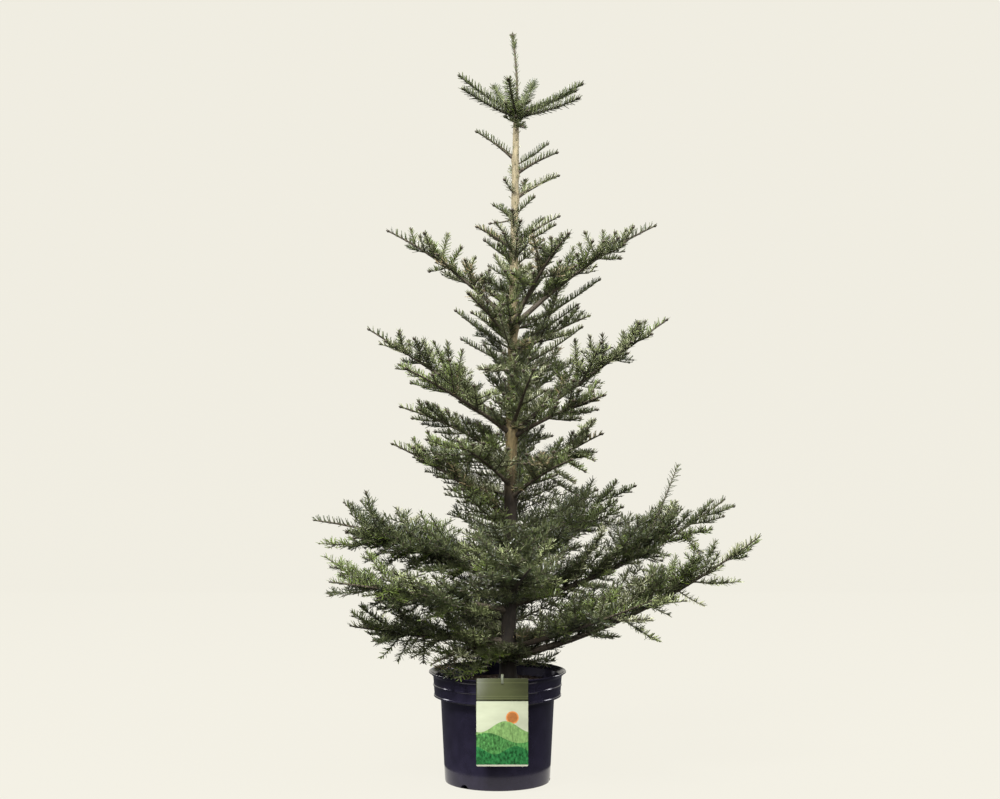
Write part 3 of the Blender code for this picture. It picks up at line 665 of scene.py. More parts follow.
class FirStageSettings(PropertyGroup):
    """Camera, floor, backdrop and lights."""

    lens: FloatProperty(name="Lens", description="Focal length in mm", default=65.2)
    distance: FloatProperty(
        name="Distance", description="Camera to the pot's axis", default=CAMERA_DISTANCE, unit="LENGTH"
    )
    height: FloatProperty(
        name="Height", description="Camera over the floor", default=CAMERA_HEIGHT, unit="LENGTH"
    )
    paper: FloatVectorProperty(
        name="Paper", description="Floor and backdrop", subtype="COLOR", default=(0.880, 0.855, 0.765)
    )
    glow: FloatProperty(name="Glow", description="Share of the paper's tone that glows", default=0.986)
    paper_albedo: FloatProperty(name="Paper albedo", description="Light the paper throws back", default=0.012)
    near_paper: FloatProperty(
        name="Near paper",
        description="Radius of the paper that the pot reflects",
        default=0.197,
        unit="LENGTH",
    )
    sky: FloatProperty(name="Sky", description="Light from above", default=0.98)
    key: FloatProperty(name="Key", description="Watts of the left front light", default=372.0)
    fill: FloatProperty(name="Fill", description="Watts of the right front light", default=150.0)
    front: FloatProperty(name="Front", description="Watts of the low front light", default=36.0)
    edge: FloatProperty(name="Edge", description="Watts of each long light behind", default=50.0)


def unit(vector):
    """A vector of length 1 in the same direction."""
    return vector / np.linalg.norm(vector)


def outward(azimuth):
    """Level direction of an azimuth in degrees."""
    angle = math.radians(azimuth)
    return np.array((math.cos(angle), math.sin(angle), 0.0))


def across(tangent):
    """Two directions square to a tangent: one level, one upward."""
    reference = UP if abs(tangent[2]) < STEEP else np.array((1.0, 0.0, 0.0))
    level = unit(np.cross(tangent, reference))
    return level, unit(np.cross(level, tangent))


def trunk_share(height):
    """Share of the trunk's length below a height."""
    return (height - SOIL_TOP) / (TRUNK_TOP - SOIL_TOP)


def trunk_centre(height):
    """Centre of the trunk at a height."""
    share = trunk_share(height)
    lean = TRUNK_FOOT_X + (TRUNK_TOP_X - TRUNK_FOOT_X) * share
    return np.array((lean, TRUNK_SWAY * math.sin(math.tau * share), height))


def trunk_radius(height):
    """Radius of the trunk at a height, with the flare at its foot."""
    share = trunk_share(height)
    taper = TRUNK_FOOT_RADIUS + (TRUNK_TOP_RADIUS - TRUNK_FOOT_RADIUS) * share
    return taper + FLARE_RADIUS * math.exp(-(height - SOIL_TOP) / FLARE_HEIGHT)


def leader_centre(height):
    """Centre of the leader at a height: it bends over to -X towards its tip."""
    share = (height - TRUNK_TOP) / (LEADER_TOP - TRUNK_TOP)
    foot = trunk_centre(TRUNK_TOP)
    sway = LEADER_BEND * math.sin(math.pi * share)
    x = foot[0] + (LEADER_TIP_X - foot[0]) * share ** 2 + sway
    return np.array((x, foot[1], height))


def limb_point(limb, share):
    """Centre of a limb at a share of its reach, counted from the trunk's centre."""
    climb = limb.rise * share + 4.0 * limb.arch * share * (1.0 - share)
    return trunk_centre(limb.foot) + outward(limb.azimuth) * (limb.reach * share) + UP * climb


def share_under(limb, pixel_across):
    """Share of a limb's reach that the camera sees at a pixel across."""
    slope = (pixel_across - MIDDLE_ACROSS) * PIXEL / CAMERA_DISTANCE
    centre = trunk_centre(limb.foot)
    run = outward(limb.azimuth) * limb.reach
    share = (slope * (CAMERA_DISTANCE + centre[1]) - centre[0] + CAMERA_X) / (run[0] - slope * run[1])
    step = min(max(round(share * SHARE_STEPS), FIRST_SHARE_STEP), SHARE_STEPS)
    return step / SHARE_STEPS


def place_behind(pixel_across, pixel_down, depth):
    """Place at a depth that the camera sees at a pixel."""
    widening = (CAMERA_DISTANCE + depth) / CAMERA_DISTANCE
    x = (pixel_across - MIDDLE_ACROSS) * PIXEL * widening + CAMERA_X
    height = CAMERA_HEIGHT + ((FLOOR_DOWN - pixel_down) * PIXEL - CAMERA_HEIGHT) * widening
    return np.array((x, depth, height))


def read_shoot(limb, reading):
    """Share of the limb's reach and run of a shoot, worked out from its reading."""
    share = share_under(limb, reading.foot_across)
    foot = limb_point(limb, share)
    run = place_behind(reading.tip_across, reading.tip_down, foot[1] + reading.behind) - foot
    return round(share, SHARE_DIGITS), [round(float(part), RUN_DIGITS) for part in run]


def limb_tangent(limb, share):
    """Direction of a limb's run at a share of its reach."""
    step = 0.001
    return unit(limb_point(limb, share + step) - limb_point(limb, share - step))


def limb_radius(limb, share):
    """Radius of a limb: it tapers from its foot to its tip."""
    foot = LIMB_FOOT_RADIUS + LIMB_RADIUS_SHARE * limb.reach
    return foot + (LIMB_TIP_RADIUS - foot) * min(share, 1.0) ** LIMB_TAPER_POWER


def stem_end(limb):
    """Share of the reach at which the source's end shoot takes over."""
    return TWIG_STEM_END if limb.reach < TWIG_REACH else STEM_END


def axis_segments(limb):
    """A limb's axis as short segments: their starts and their runs."""
    points = np.array([limb_point(limb, index / AXIS_STEPS) for index in range(AXIS_STEPS + 1)])
    return points[:-1], np.diff(points, axis=0)


def axis_distance(points, starts, runs):
    """Distance from each point to the nearest of some segments."""
    gaps = points[:, None] - starts[None]
    shares = np.clip((gaps * runs).sum(2) / (runs * runs).sum(1), 0.0, 1.0)
    return np.linalg.norm(gaps - shares[:, :, None] * runs, axis=2).min(axis=1)


@functools.cache
def other_segments(name):
    """Segments of every limb but one."""
    parts = [axis_segments(limb) for limb in LIMBS if limb.name != name]
    return np.concatenate([part[0] for part in parts]), np.concatenate([part[1] for part in parts])


def fits(shoot, limb):
    """Whether a shoot keeps to its own mass's space and clear of trunk and pot."""
    level, upward = across(shoot.direction)
    wing = level * math.cos(shoot.roll) + upward * math.sin(shoot.roll)
    samples = []
    for share in (0.25, 0.5, 0.75, 1.0):
        middle = shoot.base + shoot.direction * (shoot.length * share)
        width = shoot.spread * (1.0 - BRANCHLET_TAPER * share ** 2)
        samples += [middle, middle - wing * width, middle + wing * width]
    samples = np.array(samples)
    for x, y, z in samples:
        if math.hypot(x, y) < LIP_RADIUS + POT_MARGIN and z < POT_HEIGHT + POT_MARGIN:
            return False
        centre = trunk_centre(min(z, TRUNK_TOP))
        if np.linalg.norm((x, y, z) - centre) < trunk_radius(min(z, TRUNK_TOP)) + TRUNK_MARGIN:
            return False
    own = axis_distance(samples, *axis_segments(limb))
    return bool((axis_distance(samples, *other_segments(limb.name)) >= own + SPACE_MARGIN).all())


def side_shoots(limb, generator):
    """The shoots of one limb, drawn as the part's source draws them."""
    generator.uniform(-SHOOT_ROLL, SHOOT_ROLL)
    shoots = []
    for index in range(limb.shoots):
        along = (index + 0.5) / limb.shoots * SHOOT_SPAN
        first = limb.bare + FIRST_SHOOT
        share = first + (stem_end(limb) - first) * along
        side = 1.0 if index % 2 else -1.0
        angle = math.radians(SHOOT_ANGLE + generator.uniform(-SHOOT_ANGLE_SPREAD, SHOOT_ANGLE_SPREAD))
        lift = generator.uniform(*(LOWER_LIFT if (index // 2 + index) % 2 else UPPER_LIFT))
        change = generator.uniform(-SHOOT_LENGTH_SPREAD, SHOOT_LENGTH_SPREAD)
        roll = math.radians(generator.uniform(-SHOOT_ROLL, SHOOT_ROLL))
        tangent = limb_tangent(limb, share)
        level, upward = across(tangent)
        run = tangent * math.cos(angle) + level * (side * math.sin(angle)) + UP * lift
        length = limb.shoot_length * (1.0 - SHOOT_TAPER * along) * (1.0 + change)
        spread = max(NEEDLE_REACH, SPRAY_SHARE * length)
        shoot = Shoot(limb_point(limb, share), unit(run), length, roll, spread)
        while shoot.length > SHORTEST_SHOOT and not fits(shoot, limb):
            narrower = max(NEEDLE_REACH, shoot.spread * SHRINK)
            shoot = shoot._replace(length=shoot.length * SHRINK, spread=narrower)
        if shoot.length > SHORTEST_SHOOT:
            shoots.append(shoot)
    return shoots


def bowed_path(base, direction, length, count, sag=SHOOT_SAG):
    """Points of a shoot that hangs a little in the middle and turns up at its tip."""
    shares = np.linspace(0.0, 1.0, count)[:, None]
    drop = 4.0 * sag * length * shares * (1.0 - shares)
    return base + direction * (length * shares) - UP * drop


def twig_radii(length, count):
    """Radii of a twig from its foot to its tip."""
    return np.linspace(TWIG_FOOT_RADIUS + TWIG_RADIUS_SHARE * length, TWIG_TIP_RADIUS, count)


def in_reach(points):
    """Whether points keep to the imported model's box, but for a small margin."""
    low, high = (np.array(corner) for corner in CAD_BOUNDS)
    return bool((points > low - REACH_MARGIN).all() and (points < high + REACH_MARGIN).all())


def spray(shoot, draw, tint, bare=SHOOT_BARE):
    """A side shoot with its branchlets, as twigs."""
    while shoot.length > SHORTEST_SHOOT and not in_reach(shoot.base + shoot.direction * shoot.length):
        shoot = shoot._replace(length=shoot.length * SHRINK)
    path = bowed_path(shoot.base, shoot.direction, shoot.length, SHOOT_POINTS)
    twigs = [Twig(path, twig_radii(shoot.length, SHOOT_POINTS), bare, tint)]
    level, upward = across(shoot.direction)
    wing = level * math.cos(shoot.roll) + upward * math.sin(shoot.roll)
    fold = upward * math.cos(shoot.roll) - level * math.sin(shoot.roll)
    places = np.linspace(0.0, 1.0, SHOOT_POINTS)
    branched = shoot.length > PLAIN_SHOOT and shoot.spread > NARROW_SPREAD
    pairs = int((shoot.length - BRANCHLET_START) / BRANCHLET_PITCH) if branched else 0
    for pair in range(pairs):
        for side in (-1.0, 1.0):
            run = BRANCHLET_START + BRANCHLET_PITCH * (pair + draw.uniform(*BRANCHLET_JITTER))
            share = min(run / shoot.length, LAST_BRANCHLET)
            angle = math.radians(draw.uniform(*BRANCHLET_ANGLE))
            width = shoot.spread * (1.0 - BRANCHLET_TAPER * share ** 2)
            length = max(SHORTEST_BRANCHLET, width / math.sin(angle) * draw.uniform(*BRANCHLET_LENGTH))
            direction = shoot.direction * math.cos(angle) + wing * (side * math.sin(angle))
            direction = unit(direction + fold * draw.uniform(*BRANCHLET_LIFT))
            base = np.array([np.interp(share, places, path[:, axis]) for axis in range(3)])
            points = bowed_path(base, direction, length, BRANCHLET_POINTS)
            if in_reach(points):
                radii = twig_radii(length, BRANCHLET_POINTS)
                twigs.append(Twig(points, radii, BRANCHLET_BARE, tint))
    return twigs


def spray_tint(browned, foot, share, draw):
    """Tint of a spray, drawn by how far out and how high it stands, and browner on a dry limb."""
    if browned:
        weights = DRY_TINTS
    elif foot > HIGH_FOOT:
        weights = HIGH_TINTS
    elif share < NEAR_SHARE:
        weights = NEAR_TINTS
    else:
        weights = FAR_TINTS
    return draw.choices(TINTS, weights)[0]


def limb_tint(limb, share, draw):
    """Tint of a spray on a limb, by how far along it stands."""
    return spray_tint(limb.name in BROWNED_LIMBS, limb.foot, share, draw)


def filler_shoots(limb, draw):
    """Shoots on all sides of a limb that fill the room between its side shoots."""
    twigs = []
    if limb.reach < TWIG_REACH:
        return twigs
    low = limb.foot < HIGH_FOOT
    filling = FILLINGS.get(limb.name, LOW_FILLING if low else HIGH_FILLING)
    start = max(limb.bare - FILLER_LEAD, FIRST_FILLER)
    end = LOW_FILLER_END if low else FILLER_END
    count = int(limb.reach * (end - start) / filling.pitch)
    for index in range(count):
        share = start + (end - start) * (index + draw.uniform(*FILLER_JITTER)) / count
        side = 1.0 if index % 2 else -1.0
        angle = math.radians(draw.uniform(*FILLER_ANGLE))
        tangent = limb_tangent(limb, share)
        level, upward = across(tangent)
        swing = side * math.sin(angle) * draw.uniform(*filling.swing)
        direction = unit(tangent * math.cos(angle) + level * swing + UP * draw.uniform(*filling.lift))
        length = limb.shoot_length * draw.uniform(*filling.lengths) * (1.0 - FILLER_TAPER * share)
        length = max(SHORTEST_FILLER, length)
        roll = math.radians(draw.uniform(-SHOOT_ROLL, SHOOT_ROLL))
        raised = filling is RAISED_FILLING
        spread = (RAISED_SPREAD if raised else SPRAY_SHARE) * length
        shoot = Shoot(limb_point(limb, share), direction, length, roll, spread)
        tint = limb_tint(limb, share, draw)
        twigs += spray(shoot, draw, tint, RAISED_BARE if raised else SHOOT_BARE)
    return twigs


def placed_shoots(limb, draw):
    """The shoots of a limb that were placed one by one."""
    twigs = []
    for row in READ_SHOOTS.get(limb.name, ()):
        share, run = read_shoot(limb, Reading(*row))
        length = math.hypot(*run)
        direction = np.array(run) / length
        spread = PLACED_SPREAD * length if length < LONG_PLACED else 0.0
        shoot = Shoot(limb_point(limb, share), direction, length, PLACED_ROLL, spread)
        tint = limb_tint(limb, share, draw)
        twigs += spray(shoot, draw, "needles_deep" if length > LONG_PLACED else tint)
    return twigs


def limb_axis(limb, count):
    """Points along a limb from the trunk's centre to its tip."""
    return np.array([limb_point(limb, share) for share in np.linspace(0.0, 1.0, count)])


def limb_stem(limb, draw):
    """The limb's own axis as a twig that only carries needles, from its foliage on."""
    radii = np.array([limb_radius(limb, share) for share in np.linspace(0.0, 1.0, STEM_POINTS)])
    bare = max(limb.bare + STEM_LEAD, STEM_BARE)
    tint = spray_tint(False, limb.foot, STEM_TINT_SHARE, draw)
    return Twig(limb_axis(limb, STEM_POINTS), radii, bare, tint)


def trunk_shoots(draw):
    """Short shoots that leave the trunk between the limbs."""
    twigs = []
    turn = 0.0
    for low, high, count, shortest, longest, lifts in TRUNK_SHOOT_ZONES:
        for index in range(count):
            turn += GOLDEN_ANGLE
            height = low + (high - low) * (index + draw.uniform(*TRUNK_SHOOT_JITTER)) / count
            direction = np.array((math.cos(turn), math.sin(turn), draw.uniform(*lifts)))
            length = draw.uniform(shortest, longest)
            roll = math.radians(draw.uniform(-SHOOT_ROLL, SHOOT_ROLL))
            shown = any(bottom < height < top for bottom, top in OPEN_TRUNK)
            if shown and direction[1] < OPEN_FRONT:
                continue
            spread = max(NEEDLE_REACH, SPRAY_SHARE * length)
            foot = trunk_centre(height) if height < TRUNK_TOP else leader_centre(height)
            shoot = Shoot(foot, unit(direction), length, roll, spread)
            tint = spray_tint(height < BROWNED_FOOT, height, draw.uniform(*TRUNK_TINT_SHARE), draw)
            twigs += spray(shoot, draw, tint)
    return twigs


def single_twig(foot, azimuth, reach, rise, radius, bare, tint):
    """A single shoot with needles along both sides and no branchlets."""
    run = outward(azimuth) * reach + UP * rise
    length = np.linalg.norm(run)
    path = bowed_path(foot, unit(run), length, SINGLE_POINTS)
    return Twig(path, np.linspace(radius, SINGLE_TIP_RADIUS, SINGLE_POINTS), bare, tint)


def whorl_twigs(draw):
    """The whorl of shoots round the leader's foot, and a stub below it."""
    twigs = []
    for index, (azimuth, rise) in enumerate(WHORL_SHOOTS):
        side = outward(azimuth)
        reach = WHORL_REACH * (1.0 + WHORL_EAST * side[0]) * draw.uniform(*WHORL_REACH_RANGE)
        foot = leader_centre(TRUNK_TOP + WHORL_HEIGHT + WHORL_STEP * (index % 2))
        tint = draw.choice(WHORL_TINTS)
        twigs.append(single_twig(foot, azimuth, reach, rise, WHORL_RADIUS, WHORL_BARE, tint))
    foot = trunk_centre(TRUNK_TOP - WHORL_STUB_DROP)
    twigs.append(single_twig(foot, *WHORL_STUB, WHORL_STUB_RADIUS, WHORL_STUB_BARE, "needles_deep"))
    return twigs


def trunk_twigs(draw):
    """The single twigs of the young trunk, and one that has lost its needles."""
    twigs = []
    for height, azimuth, reach, rise in TRUNK_TWIGS:
        tint = draw.choice(TRUNK_TWIG_TINTS)
        radius = TRUNK_TWIG_RADIUS + TRUNK_TWIG_RADIUS_SHARE * reach
        foot = trunk_centre(height)
        twigs.append(single_twig(foot, azimuth, reach, rise, radius, TRUNK_TWIG_BARE, tint))
    height, *run = BARE_STUB
    twigs.append(single_twig(trunk_centre(height), *run, BARE_STUB_RADIUS, 1.0, "needles_deep"))
    return twigs


@functools.cache
def crown():
    """Every twig of the crown: the limbs' own axes first, then all that is joined."""
    stems = []
    twigs = []
    for index, limb in enumerate(LIMBS):
        generator = random.Random(SEED + 1 + index)
        draw = random.Random(FINE_SEED + 1 + index)
        stems.append(limb_stem(limb, draw))
        for shoot in side_shoots(limb, generator):
            away = np.linalg.norm(shoot.base[:2] - trunk_centre(limb.foot)[:2]) / limb.reach
            if FILLINGS.get(limb.name) is FLAT_FILLING:
                shoot = shoot._replace(direction=unit(shoot.direction * (1.0, 1.0, FLAT_LIFT)))
            twigs += spray(shoot, draw, limb_tint(limb, away, draw))
        twigs += filler_shoots(limb, draw)
        twigs += placed_shoots(limb, draw)
    twigs += trunk_shoots(random.Random(FINE_SEED - 1))
    twigs += trunk_twigs(random.Random(FINE_SEED - 2))
    twigs += whorl_twigs(random.Random(FINE_SEED))
    return stems, twigs


def tube_arrays(points, radii, sides):
    """Places and triangles of a tapering tube with closed ends."""
    tangents = np.gradient(points, axis=0)
    tangents /= np.linalg.norm(tangents, axis=1)[:, None]
    level = np.cross(tangents, UP)
    level[np.linalg.norm(level, axis=1) < LEVEL_LEAST] = (0.0, 1.0, 0.0)
    level /= np.linalg.norm(level, axis=1)[:, None]
    upward = np.cross(level, tangents)
    angles = math.tau * np.arange(sides) / sides
    ring = level[:, None] * np.cos(angles)[None, :, None] + upward[:, None] * np.sin(angles)[None, :, None]
    places = points[:, None] + ring * np.asarray(radii)[:, None, None]
    count = len(points)
    low = (np.arange(count - 1)[:, None] * sides + np.arange(sides)[None]).ravel()
    following = (np.arange(count - 1)[:, None] * sides + (np.arange(sides)[None] + 1) % sides).ravel()
    walls = np.concatenate(
        (
            np.stack((low, low + sides, following + sides), axis=1),
            np.stack((low, following + sides, following), axis=1),
        )
    )
    fan = np.arange(1, sides - 1)
    first = np.stack((np.zeros_like(fan), fan, fan + 1), axis=1)
    last = first[:, ::-1] + (count - 1) * sides
    return places.reshape(-1, 3), np.concatenate((walls, first, last))


def joined(parts):
    """Join (places, triangles) pairs into one pair."""
    places = []
    triangles = []
    start = 0
    for part_places, part_triangles in parts:
        places.append(part_places)
        triangles.append(part_triangles + start)
        start += len(part_places)
    return np.concatenate(places), np.concatenate(triangles)


def mesh_piece(name, places, triangles, materials, slots=None, smooth=False):
    """A mesh object from arrays of places and triangles."""
    mesh = bpy.data.meshes.new(name)
    mesh.vertices.add(len(places))
    mesh.vertices.foreach_set("co", np.ascontiguousarray(places, dtype=np.float32).ravel())
    mesh.loops.add(triangles.size)
    mesh.loops.foreach_set("vertex_index", np.ascontiguousarray(triangles, dtype=np.int32).ravel())
    mesh.polygons.add(len(triangles))
    mesh.polygons.foreach_set("loop_start", np.arange(len(triangles), dtype=np.int32) * 3)
    for material in materials:
        mesh.materials.append(material)
    if slots is not None:
        mesh.polygons.foreach_set("material_index", slots.astype(np.int32))
    mesh.polygons.foreach_set("use_smooth", np.full(len(triangles), smooth))
    mesh.update(calc_edges=True)
    mesh.validate()
    thing = bpy.data.objects.new(name, mesh)
    bpy.context.scene.collection.objects.link(thing)
    return thing


def finish_piece(thing, slot, *nodes):
    """Let a piece ride on the plant's one body and hide the nodes it replaces."""
    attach(thing, "root")
    if nodes:
        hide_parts(*nodes)


def needle_axes(twig, settings, dice):
    """Feet, directions, upper normals and lengths of the needles on one twig."""
    steps = np.linalg.norm(np.diff(twig.points, axis=0), axis=1)
    runs = np.concatenate(([0.0], np.cumsum(steps)))
    first = runs[-1] * twig.bare
    density = 1.0
    top = twig.points[0, 2] > TRUNK_TOP - WHORL_DEPTH
    if len(twig.points) == SINGLE_POINTS:
        density = WHORL_DENSITY if top else DENSEST
    elif len(twig.points) != BRANCHLET_POINTS:
        density = min(1.0, max(DENSEST, runs[-1] / DENSE_BELOW))
    spacing = settings.spacing * density
    count = int((runs[-1] - first) / spacing)
    if count < 1:
        return None
    along = first + (np.arange(count) + dice.uniform(*NEEDLE_JITTER, count)) * spacing
    centres = np.stack([np.interp(along, runs, twig.points[:, axis]) for axis in range(3)], axis=1)
    radii = np.interp(along, runs, twig.radii)
    segment = np.clip(np.searchsorted(runs, along) - 1, 0, len(steps) - 1)
    tangents = np.diff(twig.points, axis=0)[segment] / steps[segment][:, None]
    steep = np.abs(tangents[:, 2]) > STEEP_TWIG
    level = np.cross(tangents, UP)
    level[np.linalg.norm(level, axis=1) < LEVEL_LEAST] = (0.0, 1.0, 0.0)
    level /= np.linalg.norm(level, axis=1)[:, None]
    upward = np.cross(level, tangents)
    turns = (GOLDEN_ANGLE * np.arange(count) + dice.uniform(0.0, math.tau)) % math.tau - math.pi
    both_sides = top or (twig.points[0, 2] < HIGH_FOOT and len(twig.points) != STEM_POINTS)
    ranks = np.radians(LOW_NEEDLE_RANKS if both_sides else NEEDLE_RANKS)
    combed = ranks[(np.arange(count) + dice.integers(len(ranks))) % len(ranks)]
    turns = np.where(steep, turns, combed) + dice.normal(0.0, TURN_SCATTER, count)
    radial = upward * np.cos(turns)[:, None] + level * np.sin(turns)[:, None]
    flank = np.abs(np.sin(turns))
    near_tip = np.clip((along - (runs[-1] - TIP_RUN)) / TIP_RUN, 0.0, 1.0)
    lean = settings.lean * (TOP_LEAN - FLANK_LEAN * flank) * (1.0 - TIP_LEAN * near_tip)
    lean = lean + dice.normal(0.0, LEAN_SCATTER, count)
    directions = tangents * np.cos(lean)[:, None] + radial * np.sin(lean)[:, None]
    directions += UP * NEEDLE_LIFT
    directions /= np.linalg.norm(directions, axis=1)[:, None]
    lengths = settings.length * (TOP_LENGTH + FLANK_LENGTH * flank)
    lengths = lengths * dice.uniform(*NEEDLE_LENGTHS, count)
    lengths *= WHORL_LENGTH if top else CLOSE_LENGTH + OPEN_LENGTH * density
    lengths *= 1.0 - TIP_SHORTENING * near_tip
    reference = np.where(steep[:, None], tangents, UP[None])
    normals = reference - directions * (reference * directions).sum(1)[:, None]
    normals /= np.linalg.norm(normals, axis=1)[:, None]
    feet = centres + radial * (radii * NEEDLE_SEAT)[:, None]
    return feet, directions, normals, lengths


def clear_of_pot_and_trunk(feet, tips):
    """Which needles keep clear of the pot's rim, the soil and the trunk."""
    middle_way = np.hypot(tips[:, 0], tips[:, 1])
    over_soil = middle_way < SOIL_HIGH.x - SOIL_EDGE_MARGIN
    near_rim = (middle_way < LIP_RADIUS + RIM_MARGIN) & (tips[:, 2] < POT_HEIGHT + RIM_MARGIN)
    in_pot = (near_rim & ~over_soil) | (over_soil & (tips[:, 2] < SOIL_TOP + SOIL_MARGIN))
    share = trunk_share(tips[:, 2])
    centre_x = TRUNK_FOOT_X + (TRUNK_TOP_X - TRUNK_FOOT_X) * share
    centre_y = TRUNK_SWAY * np.sin(math.tau * share)
    radius = TRUNK_FOOT_RADIUS + (TRUNK_TOP_RADIUS - TRUNK_FOOT_RADIUS) * share
    away = np.hypot(tips[:, 0] - centre_x, tips[:, 1] - centre_y)
    in_trunk = (away < radius + BARK_MARGIN) & (tips[:, 2] < TRUNK_TOP)
    return ~(in_pot | in_trunk)


def needle_arrays(feet, directions, normals, lengths, settings, dice):
    """Places, triangles and faces' sides of blunt, keeled needles."""
    count = len(feet)
    twist = dice.normal(0.0, TWIST_SCATTER, count)[:, None]
    wide = np.cross(directions, normals)
    upper = normals * np.cos(twist) + wide * np.sin(twist)
    wide = np.cross(directions, upper)
    tips = feet + (directions + normals * TIP_RISE) * lengths[:, None]
    half = settings.width / 2
    corners = (
        feet - wide * (half * FOOT_WIDTH),
        feet + wide * (half * FOOT_WIDTH),
        feet - upper * settings.thickness,
        tips - wide * (half * TIP_WIDTH),
        tips + wide * (half * TIP_WIDTH),
    )
    places = np.stack(corners, axis=1).reshape(-1, 3)
    faces = np.array(((0, 1, 4), (0, 4, 3), (0, 2, 1), (0, 3, 2), (1, 2, 4), (2, 3, 4)))
    sides = np.array((0, 0, 0, 1, 1, 1))
    triangles = (faces[None] + 5 * np.arange(count)[:, None, None]).reshape(-1, 3)
    return places, triangles, np.tile(sides, count)


def upright_needles(low, high, spacing, centre_of, radius_of, reach, dice):
    """Needles that stand all round an upright stem."""
    count = int((high - low) / spacing)
    heights = low + (np.arange(count) + dice.uniform(*UPRIGHT_JITTER, count)) * spacing
    turns = GOLDEN_ANGLE * np.arange(count)
    radial = np.stack((np.cos(turns), np.sin(turns), np.zeros(count)), axis=1)
    lean = dice.uniform(*UPRIGHT_LEAN, count)
    directions = radial * np.sin(lean)[:, None] + UP * np.cos(lean)[:, None]
    centres = np.array([centre_of(height) for height in heights])
    radii = np.array([radius_of(height) for height in heights])
    feet = centres + radial * (radii * UPRIGHT_SEAT)[:, None]
    normals = UP - directions * directions[:, 2:3]
    normals /= np.linalg.norm(normals, axis=1)[:, None]
    lengths = reach * dice.uniform(*UPRIGHT_LENGTHS, count)
    return feet, directions, normals, lengths


def leader_radius(height):
    """Radius of the leader at a height."""
    share = (height - TRUNK_TOP) / (LEADER_TOP - TRUNK_TOP)
    return LEADER_RADIUS + (LEADER_TIP_RADIUS - LEADER_RADIUS) * share


def activate(thing):
    """Leave edit mode and select one object alone."""
    if bpy.context.object is not None and bpy.context.object.mode != "OBJECT":
        bpy.ops.object.mode_set(mode="OBJECT")
    bpy.ops.object.select_all(action="DESELECT")
    thing.select_set(True)
    bpy.context.view_layer.objects.active = thing


def added(name, add, **values):
    """Add a primitive with nothing else selected, and name it."""
    bpy.ops.object.select_all(action="DESELECT")
    add(**values)
    thing = bpy.context.object
    thing.name = name
    return thing


def settle(thing):
    """Put a finished object's place into its mesh."""
    activate(thing)
    bpy.ops.object.transform_apply(location=True, rotation=True, scale=True)


def swept_tube(name, points, radii, resolution):
    """A round tube along points, made as a bevelled curve and turned into a mesh."""
    curve = bpy.data.curves.new(name, "CURVE")
    curve.dimensions = "3D"
    curve.bevel_depth = 1.0
    curve.bevel_resolution = resolution
    curve.use_fill_caps = True
    spline = curve.splines.new("POLY")
    spline.points.add(len(points) - 1)
    for target, point, radius in zip(spline.points, points, radii):
        target.co = (*point, 1.0)
        target.radius = radius
    thing = bpy.data.objects.new(name, curve)
    bpy.context.scene.collection.objects.link(thing)
    activate(thing)
    bpy.ops.object.convert(target="MESH")
    thing = bpy.context.object
    bpy.ops.object.mode_set(mode="EDIT")
    bpy.ops.mesh.select_all(action="SELECT")
    bpy.ops.mesh.remove_doubles(threshold=0.00001)
    bpy.ops.mesh.normals_make_consistent(inside=False)
    bpy.ops.object.mode_set(mode="OBJECT")
    bpy.ops.object.shade_smooth()
    return thing


def roughen(thing, amount_at):
    """Move each point of a mesh along its normal by an amount that its place gives."""
    bm = bmesh.new()
    bm.from_mesh(thing.data)
    moves = [(vertex, vertex.normal * amount_at(vertex.co)) for vertex in bm.verts]
    for vertex, move in moves:
        vertex.co += move
    bm.to_mesh(thing.data)
    bm.free()


def bark_relief(place, relief, blister, grain):
    """Height of the bark at a place: long wrinkles and small round blisters."""
    long_way = Vector((place.x, place.y, place.z * 0.22)) / grain
    wrinkles = noise.noise(long_way) + 0.5 * noise.noise(long_way * 2.3)
    distances = noise.voronoi(Vector((place.x, place.y, place.z * 0.7)) / (grain * 1.1))[0]
    blisters = max(0.0, 0.42 - distances[0]) / 0.42
    return relief * wrinkles + blister * blisters


def shader_of(material):
    """The Principled BSDF of a material."""
    return material.node_tree.nodes["Principled BSDF"]


def new_material(name, roughness, specular=0.5):
    """A material whose constants sit on the shader's own sockets."""
    material = bpy.data.materials.new(name)
    material.use_nodes = True
    shader = shader_of(material)
    shader.inputs["Roughness"].default_value = roughness
    shader.inputs["Specular IOR Level"].default_value = specular
    return material


def object_noise(material, scale, detail=4.0, stretch=(1.0, 1.0, 1.0)):
    """A noise pattern on the object's own coordinates."""
    tree = material.node_tree
    places = tree.nodes.new("ShaderNodeTexCoord")
    mapping = tree.nodes.new("ShaderNodeMapping")
    mapping.inputs["Scale"].default_value = stretch
    pattern = tree.nodes.new("ShaderNodeTexNoise")
    pattern.inputs["Scale"].default_value = scale
    pattern.inputs["Detail"].default_value = detail
    tree.links.new(places.outputs["Object"], mapping.inputs["Vector"])
    tree.links.new(mapping.outputs["Vector"], pattern.inputs["Vector"])
    return pattern


def ramp(material, factor, stops):
    """A colour ramp through (position, colour) stops."""
    node = material.node_tree.nodes.new("ShaderNodeValToRGB")
    elements = node.color_ramp.elements
    while len(elements) > 1:
        elements.remove(elements[-1])
    elements[0].position = stops[0][0]
    elements[0].color = (*stops[0][1], 1.0)
    for position, colour in stops[1:]:
        element = elements.new(position)
        element.color = (*colour, 1.0)
    material.node_tree.links.new(factor, node.inputs["Fac"])
    return node


